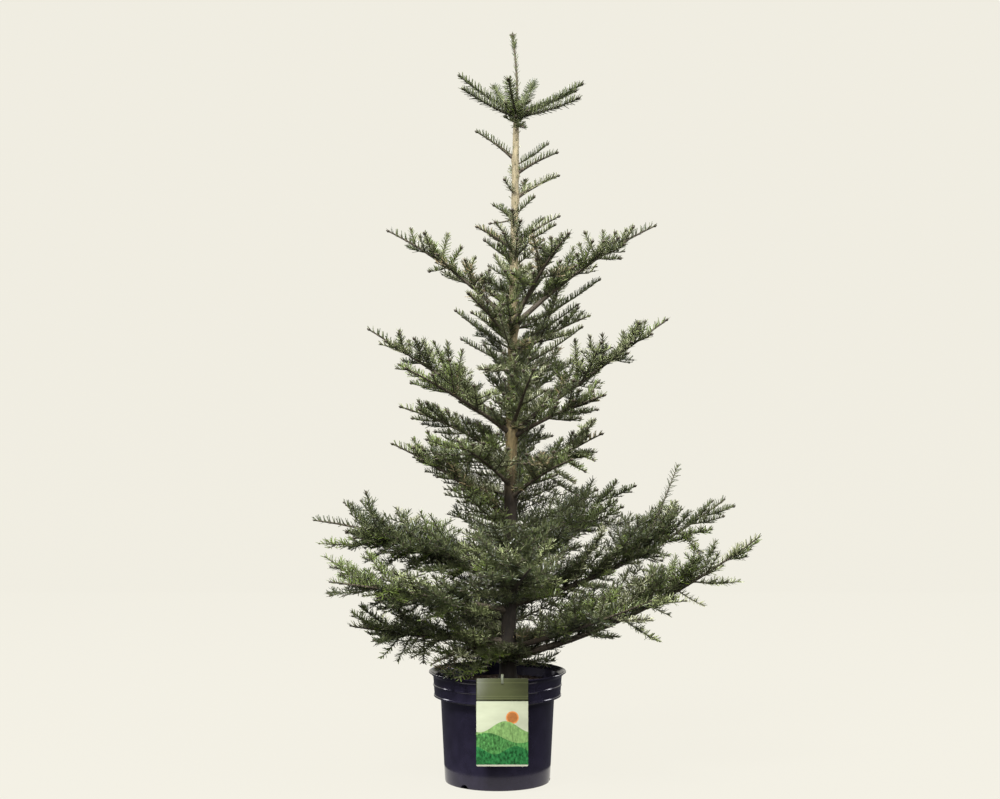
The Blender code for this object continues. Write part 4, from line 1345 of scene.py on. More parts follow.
def colour_noise(material, scale, dark, light, detail=4.0, stretch=(1.0, 1.0, 1.0)):
    """Base colour that wanders between a dark and a light tone."""
    pattern = object_noise(material, scale, detail, stretch)
    tones = ramp(material, pattern.outputs["Fac"], ((0.32, dark), (0.68, light)))
    material.node_tree.links.new(tones.outputs["Color"], shader_of(material).inputs["Base Color"])
    return tones


def add_bump(material, height, strength, distance):
    """Small relief from a height pattern."""
    tree = material.node_tree
    bump = tree.nodes.new("ShaderNodeBump")
    bump.inputs["Strength"].default_value = strength
    bump.inputs["Distance"].default_value = distance
    tree.links.new(height, bump.inputs["Height"])
    tree.links.new(bump.outputs["Normal"], shader_of(material).inputs["Normal"])


def vary_roughness(material, pattern, low, high):
    """Roughness that follows a pattern between two values."""
    tree = material.node_tree
    span = tree.nodes.new("ShaderNodeMapRange")
    span.inputs["To Min"].default_value = low
    span.inputs["To Max"].default_value = high
    tree.links.new(pattern, span.inputs["Value"])
    tree.links.new(span.outputs["Result"], shader_of(material).inputs["Roughness"])


def toned(colour, factor):
    """A colour made darker or lighter."""
    return tuple(min(1.0, channel * factor) for channel in colour)


def trunk_bark_material(settings):
    """Bark that runs from dark brown at the soil to pale tan at the top: its own tones, with painted shade
    low down and painted light at the top.
    """
    material = new_material("bark", 0.72, 0.35)
    tree = material.node_tree
    places = tree.nodes.new("ShaderNodeTexCoord")
    split = tree.nodes.new("ShaderNodeSeparateXYZ")
    span = tree.nodes.new("ShaderNodeMapRange")
    span.inputs["From Min"].default_value = SOIL_TOP
    span.inputs["From Max"].default_value = TRUNK_TOP
    tree.links.new(places.outputs["Object"], split.inputs["Vector"])
    tree.links.new(split.outputs["Z"], span.inputs["Value"])
    # The low and dim stops are partly painted shade under the crown, and the high stop is partly painted
    # light.
    dim = toned(settings.low, 1.8)
    stops = (
        (0.0, settings.low),
        (0.18, settings.low),
        (0.33, dim),
        (0.42, settings.middle),
        (0.80, settings.high),
    )
    height_tones = ramp(material, span.outputs["Result"], stops)
    pattern = object_noise(material, 260.0, 6.0, (1.0, 1.0, 0.25))
    shades = ramp(material, pattern.outputs["Fac"], ((0.30, (0.45, 0.45, 0.45)), (0.70, (1.0, 1.0, 1.0))))
    mix = tree.nodes.new("ShaderNodeMix")
    mix.data_type = "RGBA"
    mix.blend_type = "MULTIPLY"
    mix.inputs["Factor"].default_value = 1.0
    tree.links.new(height_tones.outputs["Color"], mix.inputs["A"])
    tree.links.new(shades.outputs["Color"], mix.inputs["B"])
    tree.links.new(mix.outputs["Result"], shader_of(material).inputs["Base Color"])
    add_bump(material, pattern.outputs["Fac"], 0.6, 0.0006)
    return material


def limb_bark_material(settings):
    """Bark of the limbs: brown with paler flecks."""
    material = new_material("bough_bark", 0.74, 0.35)
    colour_noise(material, 320.0, toned(settings.limb, 0.55), toned(settings.limb, 1.5), 5.0)
    fine = object_noise(material, 700.0, 3.0)
    add_bump(material, fine.outputs["Fac"], 0.5, 0.0004)
    return material


def plain_plant_material(name, colour, roughness, specular):
    """A plain tint for small joined things, with no placed pattern."""
    material = new_material(name, roughness, specular)
    shader = shader_of(material)
    shader.inputs["Base Color"].default_value = (*colour, 1.0)
    return material


class FIR_OT_trunk(Operator):
    """Model the trunk with its bark"""

    bl_idname = "fir.trunk"
    bl_label = "Trunk"

    foot_sunk = 0.006
    top_overlap = 0.004
    roundness = 16
    grain = 0.0055
    full_relief_radius = 0.013
    collar_span = 0.03
    collar_size = 0.011
    most_collars = 1.3

    def execute(self, context):
        settings = context.scene.fir_bark
        low = SOIL_TOP - self.foot_sunk
        count = int((TRUNK_TOP - low) / settings.ring_spacing)
        heights = np.linspace(low, TRUNK_TOP + self.top_overlap, count)
        points = [trunk_centre(height) for height in heights]
        radii = [trunk_radius(height) for height in heights]
        trunk = swept_tube("trunk_bark", points, radii, self.roundness)
        feet = [Vector(trunk_centre(limb.foot)) for limb in LIMBS]
        sides = [Vector(outward(limb.azimuth)) for limb in LIMBS]

        def height_at(place):
            amount = bark_relief(place, settings.relief, settings.blister, self.grain)
            slim = min(1.0, trunk_radius(place.z) / self.full_relief_radius)
            swelling = 0.0
            for foot, side in zip(feet, sides):
                if abs(place.z - foot.z) < self.collar_span:
                    spot = foot + side * trunk_radius(foot.z)
                    swelling += math.exp(-((place - spot).length / self.collar_size) ** 2)
            return amount * slim + settings.collar * min(swelling, self.most_collars)

        roughen(trunk, height_at)
        trunk.data.materials.append(trunk_bark_material(settings))
        finish_piece(trunk, "bark", "trunk")
        return {"FINISHED"}


class FIR_OT_limbs(Operator):
    """Model the leader and every limb from the trunk to its tip, each as its own piece"""

    bl_idname = "fir.limbs"
    bl_label = "Limbs"

    roundness = 3
    fewest_rings = 8
    ring_stretch = 1.4
    limb_bark = (0.00035, 0.0004, 0.0032)
    leader_bark = (0.00020, 0.00025, 0.003)
    leader_rings = 48
    leader_sunk = 0.004
    leader_tip = 0.014
    collar_share = 0.30
    collar_length = 0.010

    def execute(self, context):
        settings = context.scene.fir_bark
        material = limb_bark_material(settings)
        nodes = set(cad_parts)
        for limb in LIMBS:
            count = max(self.fewest_rings, int(limb.reach / settings.ring_spacing / self.ring_stretch))
            shares = np.linspace(0.0, 1.0, count)
            radii = [limb_radius(limb, share) + self.collar(limb, share) for share in shares]
            piece = swept_tube("limb_" + limb.name, limb_axis(limb, count), radii, self.roundness)
            roughen(piece, lambda place: bark_relief(place, *self.limb_bark))
            piece.data.materials.append(material)
            replaced = [name for name in ("bough_" + limb.name, "foliage_" + limb.name) if name in nodes]
            finish_piece(piece, "bough_bark", *replaced)
        self.leader(material)
        return {"FINISHED"}

    def leader(self, material):
        """The slim leader on top of the trunk."""
        heights = np.linspace(TRUNK_TOP - self.leader_sunk, LEADER_TOP - self.leader_tip, self.leader_rings)
        centres = [leader_centre(height) for height in heights]
        radii = [leader_radius(height) for height in heights]
        leader = swept_tube("leader", centres, radii, self.roundness)
        roughen(leader, lambda place: bark_relief(place, *self.leader_bark))
        leader.data.materials.append(material)
        finish_piece(leader, "bough_bark", "foliage_top")

    def collar(self, limb, share):
        """Swelling of a limb's foot where it comes out of the trunk."""
        out = max(0.0, share * limb.reach - trunk_radius(limb.foot))
        return self.collar_share * limb_radius(limb, 0.0) * math.exp(-out / self.collar_length)


class FIR_OT_twigs(Operator):
    """Join all twigs that are finer than a limb"""

    bl_idname = "fir.twigs"
    bl_label = "Twigs"

    def execute(self, context):
        twigs = crown()[1]
        sides = [3 if len(twig.points) == BRANCHLET_POINTS else 4 for twig in twigs]
        places, triangles = joined(
            tube_arrays(twig.points, twig.radii, count) for twig, count in zip(twigs, sides)
        )
        material = plain_plant_material("twig_bark", context.scene.fir_bark.twig, 0.68, 0.35)
        piece = mesh_piece("twigs", places, triangles, [material], smooth=True)
        finish_piece(piece, "twig_bark", *MASS_NAMES)
        return {"FINISHED"}


class FIR_OT_needles(Operator):
    """Grow the needles in sprays and join them by tint"""

    bl_idname = "fir.needles"
    bl_label = "Needles"

    def execute(self, context):
        settings = context.scene.fir_needles
        dice = np.random.default_rng(FINE_SEED)
        stems, twigs = crown()
        groups = {tint: [] for tint in TINTS}
        for twig in stems + twigs:
            axes = needle_axes(twig, settings, dice)
            if axes is not None:
                groups[twig.tint].append(axes)
        for tint, low, high, spacing, reach in TRUNK_NEEDLES:
            axes = upright_needles(low, high, spacing, trunk_centre, trunk_radius, reach, dice)
            groups[tint].append(axes)
        for tint, low, high, spacing, reach in LEADER_NEEDLES:
            axes = upright_needles(low, high, spacing, leader_centre, leader_radius, reach, dice)
            groups[tint].append(axes)
        under = plain_plant_material("needle_undersides", settings.underside, 0.50, 0.5)
        for tint in TINTS:
            feet, directions, normals, lengths = (np.concatenate(rows) for rows in zip(*groups[tint]))
            keep = clear_of_pot_and_trunk(feet, feet + directions * lengths[:, None])
            kept = [row[keep] for row in (feet, directions, normals, lengths)]
            colour = getattr(settings, tint.removeprefix("needles_"))
            material = plain_plant_material(tint, colour, 0.38, 0.50)
            count = len(kept[0])
            for number, start in enumerate(range(0, count, PIECE_NEEDLES)):
                rows = [row[start:start + PIECE_NEEDLES] for row in kept]
                places, triangles, sides = needle_arrays(*rows, settings, dice)
                piece = mesh_piece(f"{tint}_{number + 1}", places, triangles, [material, under], sides)
                finish_piece(piece, tint, *MASS_NAMES)
        return {"FINISHED"}


class FIR_OT_buds(Operator):
    """Set a winter bud at each twig's tip and a cluster at the leader's"""

    bl_idname = "fir.buds"
    bl_label = "Buds"

    branchlet_size = (0.0046, 0.0019)
    tip_size = (0.0074, 0.0030)
    side_size = (0.0062, 0.0024)
    top_size = (0.0100, 0.0032)
    ring_size = (0.0085, 0.0027)
    tip_sunk = 0.001
    side_sunk = 0.0015
    top_sunk = 0.015
    side_turn = 0.9
    side_rise = 0.3
    ring_count = 5
    ring_turn = 0.8
    ring_places = (0.0, 0.45, 1.0)
    ring_widths = (0.55, 1.0, 0.25)

    def execute(self, context):
        stems, twigs = crown()
        parts = []
        for twig in stems + twigs:
            tip = twig.points[-1]
            direction = unit(tip - twig.points[-2])
            if len(twig.points) == BRANCHLET_POINTS:
                parts.append(self.bud(tip, direction, *self.branchlet_size))
                continue
            low = twig.points[0, 2] < HIGH_FOOT
            size = [part * (LOW_BUD if low else 1.0) for part in self.tip_size]
            parts.append(self.bud(tip - direction * self.tip_sunk, direction, *size))
            if not low:
                level, upward = across(direction)
                for side in (-1.0, 1.0):
                    turned = unit(direction + level * (self.side_turn * side) + upward * self.side_rise)
                    parts.append(self.bud(tip - direction * self.side_sunk, turned, *self.side_size))
        top = leader_centre(LEADER_TOP - self.top_sunk)
        parts.append(self.bud(top, UP, *self.top_size))
        for index in range(self.ring_count):
            side = outward(360.0 / self.ring_count * index)
            parts.append(self.bud(top, unit(UP + side * self.ring_turn), *self.ring_size))
        places, triangles = joined(parts)
        material = plain_plant_material("buds", context.scene.fir_needles.bud, 0.45, 0.5)
        piece = mesh_piece("buds", places, triangles, [material], smooth=True)
        finish_piece(piece, "buds", *MASS_NAMES)
        return {"FINISHED"}

    def bud(self, foot, direction, length, radius):
        """An egg-shaped bud as a short tube of three rings."""
        shares = np.array(self.ring_places)
        widths = np.array(self.ring_widths) * radius
        points = foot + direction * (length * shares)[:, None]
        return tube_arrays(points, widths, 4)


def turned_shell(name, outline, sides):
    """Turn an outline of (radius, height) points by extruding a ring along it, and close both ends."""
    radius, height = outline[0]
    place = (0.0, 0.0, height)
    thing = added(name, bpy.ops.mesh.primitive_circle_add, vertices=sides, radius=radius, location=place)
    bpy.ops.object.transform_apply(location=True, rotation=True, scale=True)
    bpy.ops.object.mode_set(mode="EDIT")
    bpy.ops.mesh.select_mode(type="EDGE")
    bpy.ops.mesh.select_all(action="SELECT")
    for (last_radius, last_height), (radius, height) in zip(outline, outline[1:]):
        bpy.ops.mesh.extrude_region_move(
            TRANSFORM_OT_translate={"value": (0.0, 0.0, height - last_height)}
        )
        factor = radius / last_radius
        bpy.ops.transform.resize(value=(factor, factor, 1.0), center_override=(0.0, 0.0, height))
    bpy.ops.mesh.select_all(action="DESELECT")
    bpy.ops.mesh.select_non_manifold(extend=False, use_boundary=True)
    bpy.ops.mesh.fill_holes(sides=0)
    bpy.ops.mesh.select_all(action="SELECT")
    bpy.ops.mesh.normals_make_consistent(inside=False)
    bpy.ops.object.mode_set(mode="OBJECT")
    return thing


def apply_modifier(thing, kind, **values):
    """Add a modifier, set its values and apply it."""
    activate(thing)
    modifier = thing.modifiers.new(kind.lower(), kind)
    for key, value in values.items():
        setattr(modifier, key, value)
    bpy.ops.object.modifier_apply(modifier=modifier.name)


def plastic_material(settings):
    """Glossy dark plastic with a faint moulded grain and dull scuffs."""
    material = new_material("pot_plastic", 0.12, 0.5)
    colour_noise(material, 45.0, toned(settings.plastic, 0.85), toned(settings.plastic, 1.25), 3.0)
    shader_of(material).inputs["Specular Tint"].default_value = (0.90, 0.87, 1.0, 1.0)
    scuffs = object_noise(material, 34.0, 8.0, (1.0, 1.0, 0.3))
    vary_roughness(material, scuffs.outputs["Fac"], 0.06, 0.20)
    grain = object_noise(material, 520.0, 2.0)
    add_bump(material, grain.outputs["Fac"], 0.05, 0.0002)
    return material


class FIR_OT_pot(Operator):
    """Model the nursery pot with its collar, beads, lip and foot notches"""

    bl_idname = "fir.pot"
    bl_label = "Pot"

    edge_width = 0.0005
    edge_angle = 0.6
    base_radius = 0.1073
    shoulder_radius = 0.1156
    shoulder_height = 0.170
    collar_low_radius = 0.1285
    collar_top_radius = 0.1313
    collar_top_height = 0.2146
    wall = 0.0022
    floor = 0.010
    notch_count = 3
    notch_turn = 112.0
    notch_radius = 0.0098
    notch_depth = 0.030
    notch_height = 0.0086

    def execute(self, context):
        settings = context.scene.fir_pot
        pot = turned_shell("pot_shell", self.outline(settings.bead), settings.sides)
        apply_modifier(pot, "BOOLEAN", object=self.notches(), operation="DIFFERENCE", solver="EXACT")
        bpy.data.objects.remove(bpy.data.objects["notches"], do_unlink=True)
        apply_modifier(
            pot,
            "BEVEL",
            width=self.edge_width,
            segments=2,
            limit_method="ANGLE",
            angle_limit=self.edge_angle,
        )
        activate(pot)
        bpy.ops.object.shade_smooth_by_angle(angle=math.radians(35.0))
        pot.data.materials.append(plastic_material(settings))
        finish_piece(pot, "pot_plastic", "pot")
        return {"FINISHED"}

    def wall_radius(self, height):
        """Outer radius of the pot's wall at a height below the shoulder."""
        share = (height - 0.004) / (self.shoulder_height - 0.007)
        return self.base_radius + (self.shoulder_radius - self.base_radius) * share

    def outline(self, bead):
        """Radii and heights of the pot's wall, from the underside's middle round to the floor's."""
        step_top = self.shoulder_height + 0.006
        middle = (step_top + self.collar_top_height) / 2 + 0.002
        middle_radius = (self.collar_low_radius + self.collar_top_radius) / 2
        lip_low = POT_HEIGHT - 0.0035
        return [
            (0.020, 0.0016),
            (0.0880, 0.0016),
            (0.0900, 0.0),
            (self.base_radius - 0.0030, 0.0),
            (self.base_radius - 0.0008, 0.0011),
            (self.base_radius, 0.0040),
            *((self.wall_radius(height), height) for height in (0.0125, 0.020, 0.040)),
            (self.shoulder_radius, self.shoulder_height - 0.003),
            (self.shoulder_radius + 0.0015, self.shoulder_height),
            (self.collar_low_radius - 0.0012, step_top - 0.0026),
            (self.collar_low_radius + bead, step_top - 0.0012),
            (self.collar_low_radius + bead, step_top + 0.0012),
            (self.collar_low_radius + 0.0001, step_top + 0.0024),
            (middle_radius, middle - 0.0022),
            (middle_radius + bead, middle - 0.0008),
            (middle_radius + bead, middle + 0.0008),
            (middle_radius + 0.0001, middle + 0.0022),
            (self.collar_top_radius, self.collar_top_height),
            (LIP_RADIUS - 0.0022, lip_low + 0.0004),
            (LIP_RADIUS, lip_low + 0.0012),
            (LIP_RADIUS, POT_HEIGHT - 0.0008),
            (LIP_RADIUS - 0.0010, POT_HEIGHT),
            (LIP_RADIUS - 0.0024, POT_HEIGHT - 0.0003),
            (LIP_RADIUS - 0.0036, POT_HEIGHT - 0.0020),
            (self.collar_top_radius - self.wall, self.collar_top_height),
            (self.collar_low_radius - self.wall, step_top + self.wall),
            (self.shoulder_radius - self.wall, self.shoulder_height + self.wall),
            (self.base_radius - self.wall, self.floor + 0.0010),
            (0.020, self.floor + 0.0010),
        ]

    def notches(self):
        """Arched cutters round the pot's bottom edge, joined into one."""
        cutters = []
        for index in range(self.notch_count):
            angle = math.radians(self.notch_turn) + math.tau * index / self.notch_count
            middle = self.base_radius + 0.004 - self.notch_depth / 2
            place = (middle * math.cos(angle), middle * math.sin(angle))
            cutter = added(
                "notch",
                bpy.ops.mesh.primitive_cylinder_add,
                vertices=64,
                radius=self.notch_radius,
                depth=self.notch_depth,
                location=(*place, self.notch_height - self.notch_radius),
                rotation=(0.0, math.pi / 2, angle),
            )
            cutters.append(cutter)
        for cutter in cutters:
            cutter.select_set(True)
        bpy.ops.object.join()
        joined_cutter = bpy.context.object
        joined_cutter.name = "notches"
        settle(joined_cutter)
        return joined_cutter


class FIR_OT_soil(Operator):
    """Model the soil in the pot, with a lumpy top and loose crumbs"""

    bl_idname = "fir.soil"
    bl_label = "Soil"

    level_depth = 0.001
    level_edge = 0.003
    clods = ((38.0, 0.0030), (140.0, 0.0014))
    ridge_height = 0.0035
    ridge_radius = 0.03
    ridge_width = 0.03
    sunk = 0.0010
    crumb_edge = 0.008
    crumb_height = 0.0014
    foot_share = 0.80
    waist_share = 0.87
    waist_height = 0.165
    shoulder_height = 0.180
    rings = 30
    sides = 120
    trunk_room = 0.026
    crumb_sizes = (0.0012, 0.0042)
    crumb_proportions = (1.0, 0.75, 0.45)
    crumb_bumps = (0.75, 1.15)

    def execute(self, context):
        settings = context.scene.fir_pot
        rim = SOIL_HIGH.x
        outline = [
            (rim * self.foot_share, SOIL_LOW.z),
            (rim * self.waist_share, self.waist_height),
            (rim, self.shoulder_height),
            (rim, SOIL_TOP),
        ]
        outline += [(rim * (1.0 - step / self.rings), SOIL_TOP) for step in range(1, self.rings - 1)]
        soil = turned_shell("soil_bed", outline, self.sides)
        roughen(soil, self.lumps)
        activate(soil)
        bpy.ops.object.shade_smooth()
        material = self.soil_material(settings)
        soil.data.materials.append(material)
        finish_piece(soil, "soil", "soil")
        crumbs = self.crumbs(settings, rim)
        crumbs.data.materials.append(material)
        finish_piece(crumbs, "soil")
        return {"FINISHED"}

    def lumps(self, place):
        """Height of the lumps at a place on the soil's top."""
        way = place.xy.length
        if place.z < SOIL_TOP - self.level_depth or way > SOIL_HIGH.x - self.level_edge:
            return 0.0
        rough = sum(noise.noise(place * scale) * height for scale, height in self.clods)
        ridge = self.ridge_height * math.exp(-((way - self.ridge_radius) / self.ridge_width) ** 2)
        return rough + ridge - self.sunk

    def crumbs(self, settings, rim):
        """Loose crumbs and bark chips, copied from one lump and joined."""
        lump = added("lump", bpy.ops.mesh.primitive_ico_sphere_add, subdivisions=1, radius=1.0)
        shape = np.array([vertex.co for vertex in lump.data.vertices])
        faces = np.array([list(polygon.vertices) for polygon in lump.data.polygons])
        bpy.data.objects.remove(lump, do_unlink=True)
        dice = np.random.default_rng(FINE_SEED + 7)
        parts = []
        while len(parts) < settings.crumbs:
            turn = dice.uniform(0.0, math.tau)
            radius = (rim - self.crumb_edge) * math.sqrt(dice.uniform(0.0, 1.0))
            height = SOIL_TOP + self.crumb_height
            place = np.array((radius * math.cos(turn), radius * math.sin(turn), height))
            if np.linalg.norm(place[:2] - trunk_centre(SOIL_TOP)[:2]) < self.trunk_room:
                continue
            sizes = dice.uniform(*self.crumb_sizes, 3) * self.crumb_proportions
            spin = dice.uniform(0.0, math.tau)
            turned = np.array(
                ((math.cos(spin), -math.sin(spin), 0.0), (math.sin(spin), math.cos(spin), 0.0), (0, 0, 1))
            )
            bumps = shape * dice.uniform(*self.crumb_bumps, (len(shape), 1))
            parts.append((place + (bumps * sizes) @ turned.T, faces))
        places, triangles = joined(parts)
        return mesh_piece("soil_crumbs", places, triangles, [])

    def soil_material(self, settings):
        """Dark damp soil with paler fibres."""
        material = new_material("soil", 0.9, 0.2)
        colour_noise(material, 180.0, toned(settings.soil, 0.4), toned(settings.soil, 2.1), 6.0)
        fine = object_noise(material, 420.0, 4.0)
        add_bump(material, fine.outputs["Fac"], 0.8, 0.0015)
        return material


class FIR_OT_tag(Operator):
    """Model the tag with its printed face, and the clip that holds it"""

    bl_idname = "fir.tag"
    bl_label = "Tag"

    card_rise = 0.005
    rim_gap = 0.0003
    corner_radius = 0.003
    sun_across = 0.020
    sun_height = 0.096
    edge_height = 0.0035
    header_line_top = 0.1310
    card_thickness = 0.0012
    clip_width = 0.0046
    sun_radius = 0.0100
    glow_radius = 0.0125
    # Each hill's colour, the darkest and lightest share of it, and the crest: height over the tag's foot,
    # height of its waves, how close they are and how far they are shifted
    hills = (
        ("far_hill", 0.70, 1.40, 0.078, 0.011, 62.0, 0.6),
        ("middle_hill", 0.45, 1.70, 0.056, 0.010, 48.0, 2.6),
        ("near_hill", 0.40, 2.10, 0.032, 0.008, 75.0, 5.1),
    )

    header_foot = 0.128
    header_lines = (0.1335, 0.1375, 0.1640)
    line_width = 0.0008

    def execute(self, context):
        settings = context.scene.fir_tag
        card = self.card()
        card.data.materials.append(self.print_material(settings))
        finish_piece(card, "tag_card", "plant_tag")
        clip = self.clip()
        clip.data.materials.append(self.clip_material())
        finish_piece(clip, "tag_clip", "plant_tag")
        return {"FINISHED"}

    def card(self):
        """A thin card with rounded corners and soft edges."""
        width = TAG_HIGH.x - TAG_LOW.x
        height = POT_HEIGHT + self.card_rise - TAG_LOW.z
        middle_x = (TAG_HIGH.x + TAG_LOW.x) / 2
        back = -(LIP_RADIUS + self.rim_gap)
        place = (middle_x, back - self.card_thickness / 2, TAG_LOW.z + height / 2)
        card = added("tag", bpy.ops.mesh.primitive_cube_add, size=1.0, location=place)
        card.scale = (width, self.card_thickness, height)
        settle(card)
        bpy.ops.object.mode_set(mode="EDIT")
        bpy.ops.mesh.select_all(action="DESELECT")
        bpy.ops.object.mode_set(mode="OBJECT")
        for edge in card.data.edges:
            ends = [card.data.vertices[index].co for index in edge.vertices]
            edge.select = abs(ends[0].y - ends[1].y) > self.card_thickness / 2
        bpy.ops.object.mode_set(mode="EDIT")
        bpy.ops.mesh.select_mode(type="EDGE")
        bpy.ops.mesh.bevel(offset=self.corner_radius, segments=6)
        bpy.ops.object.mode_set(mode="OBJECT")
        apply_modifier(card, "BEVEL", width=0.0002, segments=2, limit_method="ANGLE", angle_limit=0.9)
        activate(card)
        bpy.ops.object.shade_smooth_by_angle(angle=math.radians(35.0))
        return card

    def clip(self):
        """A bent strip that goes over the lip and holds the card."""
        middle_x = (TAG_HIGH.x + TAG_LOW.x) / 2
        front = TAG_LOW.y + 0.0007
        inner = TAG_HIGH.y - 0.0007
        top = TAG_HIGH.z - 0.0008
        path = [
            (front, POT_HEIGHT - 0.005),
            (front, top - 0.003),
            (front + 0.001, top - 0.0008),
            (front + 0.003, top),
            (inner - 0.003, top),
            (inner - 0.001, top - 0.0008),
            (inner, top - 0.003),
            (inner, 0.2065),
        ]
        curve = bpy.data.curves.new("clip", "CURVE")
        curve.dimensions = "3D"
        spline = curve.splines.new("POLY")
        spline.points.add(len(path) - 1)
        for target, (y, z) in zip(spline.points, path):
            target.co = (middle_x, y, z, 1.0)
        clip = bpy.data.objects.new("clip", curve)
        bpy.context.scene.collection.objects.link(clip)
        activate(clip)
        bpy.ops.object.convert(target="MESH")
        clip = bpy.context.object
        bpy.ops.object.mode_set(mode="EDIT")
        bpy.ops.mesh.select_all(action="SELECT")
        bpy.ops.transform.translate(value=(-self.clip_width / 2, 0.0, 0.0))
        bpy.ops.mesh.extrude_region_move(TRANSFORM_OT_translate={"value": (self.clip_width, 0.0, 0.0)})
        bpy.ops.object.mode_set(mode="OBJECT")
        apply_modifier(clip, "SOLIDIFY", thickness=0.0013, offset=0.0)
        apply_modifier(clip, "BEVEL", width=0.0003, segments=2, limit_method="ANGLE", angle_limit=0.9)
        activate(clip)
        bpy.ops.object.mode_set(mode="EDIT")
        bpy.ops.mesh.select_all(action="SELECT")
        bpy.ops.mesh.normals_make_consistent(inside=False)
        bpy.ops.object.mode_set(mode="OBJECT")
        bpy.ops.object.shade_smooth_by_angle(angle=math.radians(35.0))
        return clip

    def clip_material(self):
        """Milky plastic of the clip."""
        material = new_material("tag_clip", 0.35)
        colour_noise(material, 300.0, (0.085, 0.095, 0.060), (0.150, 0.160, 0.110), 3.0)
        return material

    def print_material(self, settings):
        """Glossy card: an olive header over a plain landscape of hills and a sun."""
        material = new_material("tag_card", 0.25)
        tree = material.node_tree
        places = tree.nodes.new("ShaderNodeTexCoord")
        split = tree.nodes.new("ShaderNodeSeparateXYZ")
        tree.links.new(places.outputs["Object"], split.inputs["Vector"])
        x = split.outputs["X"]
        z = split.outputs["Z"]

        def math_node(operation, first, second):
            node = tree.nodes.new("ShaderNodeMath")
            node.operation = operation
            for socket, value in zip(node.inputs, (first, second)):
                if isinstance(value, (int, float)):
                    socket.default_value = value
                else:
                    tree.links.new(value, socket)
            return node.outputs["Value"]

        def hill(base, height, waves, shift):
            wave = math_node("SINE", math_node("ADD", math_node("MULTIPLY", x, waves), shift), 0.0)
            crest = math_node("ADD", math_node("MULTIPLY", wave, height), base)
            return math_node("LESS_THAN", z, crest)

        def layer(under, colour, mask):
            mix = tree.nodes.new("ShaderNodeMix")
            mix.data_type = "RGBA"
            tree.links.new(mask, mix.inputs["Factor"])
            if isinstance(under, tuple):
                mix.inputs["A"].default_value = (*under, 1.0)
            else:
                tree.links.new(under, mix.inputs["A"])
            if isinstance(colour, tuple):
                mix.inputs["B"].default_value = (*colour, 1.0)
            else:
                tree.links.new(colour, mix.inputs["B"])
            return mix.outputs["Result"]

        def band(value, low_edge, high_edge):
            above = math_node("GREATER_THAN", value, low_edge)
            return math_node("MULTIPLY", above, math_node("LESS_THAN", value, high_edge))

        def textured(tone, dark, light, pattern):
            stops = ((0.33, toned(tone, dark)), (0.67, toned(tone, light)))
            return ramp(material, pattern, stops).outputs["Color"]

        low = TAG_LOW.z
        middle = (TAG_LOW.x + TAG_HIGH.x) / 2
        sun_x = math_node("SUBTRACT", x, middle + self.sun_across)
        sun_z = math_node("SUBTRACT", z, low + self.sun_height)
        away = math_node("ADD", math_node("MULTIPLY", sun_x, sun_x), math_node("MULTIPLY", sun_z, sun_z))
        tufts = object_noise(material, 300.0, 5.0, (1.0, 1.0, 0.55)).outputs["Fac"]
        mist = object_noise(material, 26.0, 3.0, (0.5, 1.0, 1.6)).outputs["Fac"]
        sky = textured(settings.field, 0.90, 1.10, mist)
        glow = toned(settings.sun, 1.7)
        header = textured(settings.header, 0.78, 1.25, mist)
        colour = layer(sky, glow, math_node("LESS_THAN", away, self.glow_radius ** 2))
        disc = textured(settings.sun, 0.85, 1.15, tufts)
        colour = layer(colour, disc, math_node("LESS_THAN", away, self.sun_radius ** 2))
        for tone, dark, light, base, height, waves, shift in self.hills:
            slope = textured(getattr(settings, tone), dark, light, tufts)
            colour = layer(colour, slope, hill(low + base, height, waves, shift))
        colour = layer(colour, tuple(settings.paper_edge), math_node("LESS_THAN", z, low + self.edge_height))
        colour = layer(colour, header, math_node("GREATER_THAN", z, low + self.header_foot))
        for line in self.header_lines:
            foot = low + line
            colour = layer(colour, toned(settings.header, 2.2), band(z, foot, foot + self.line_width))
        foot_line = band(z, low + self.header_foot, low + self.header_line_top)
        colour = layer(colour, toned(settings.header, 0.42), foot_line)
        tree.links.new(colour, shader_of(material).inputs["Base Color"])
        return material


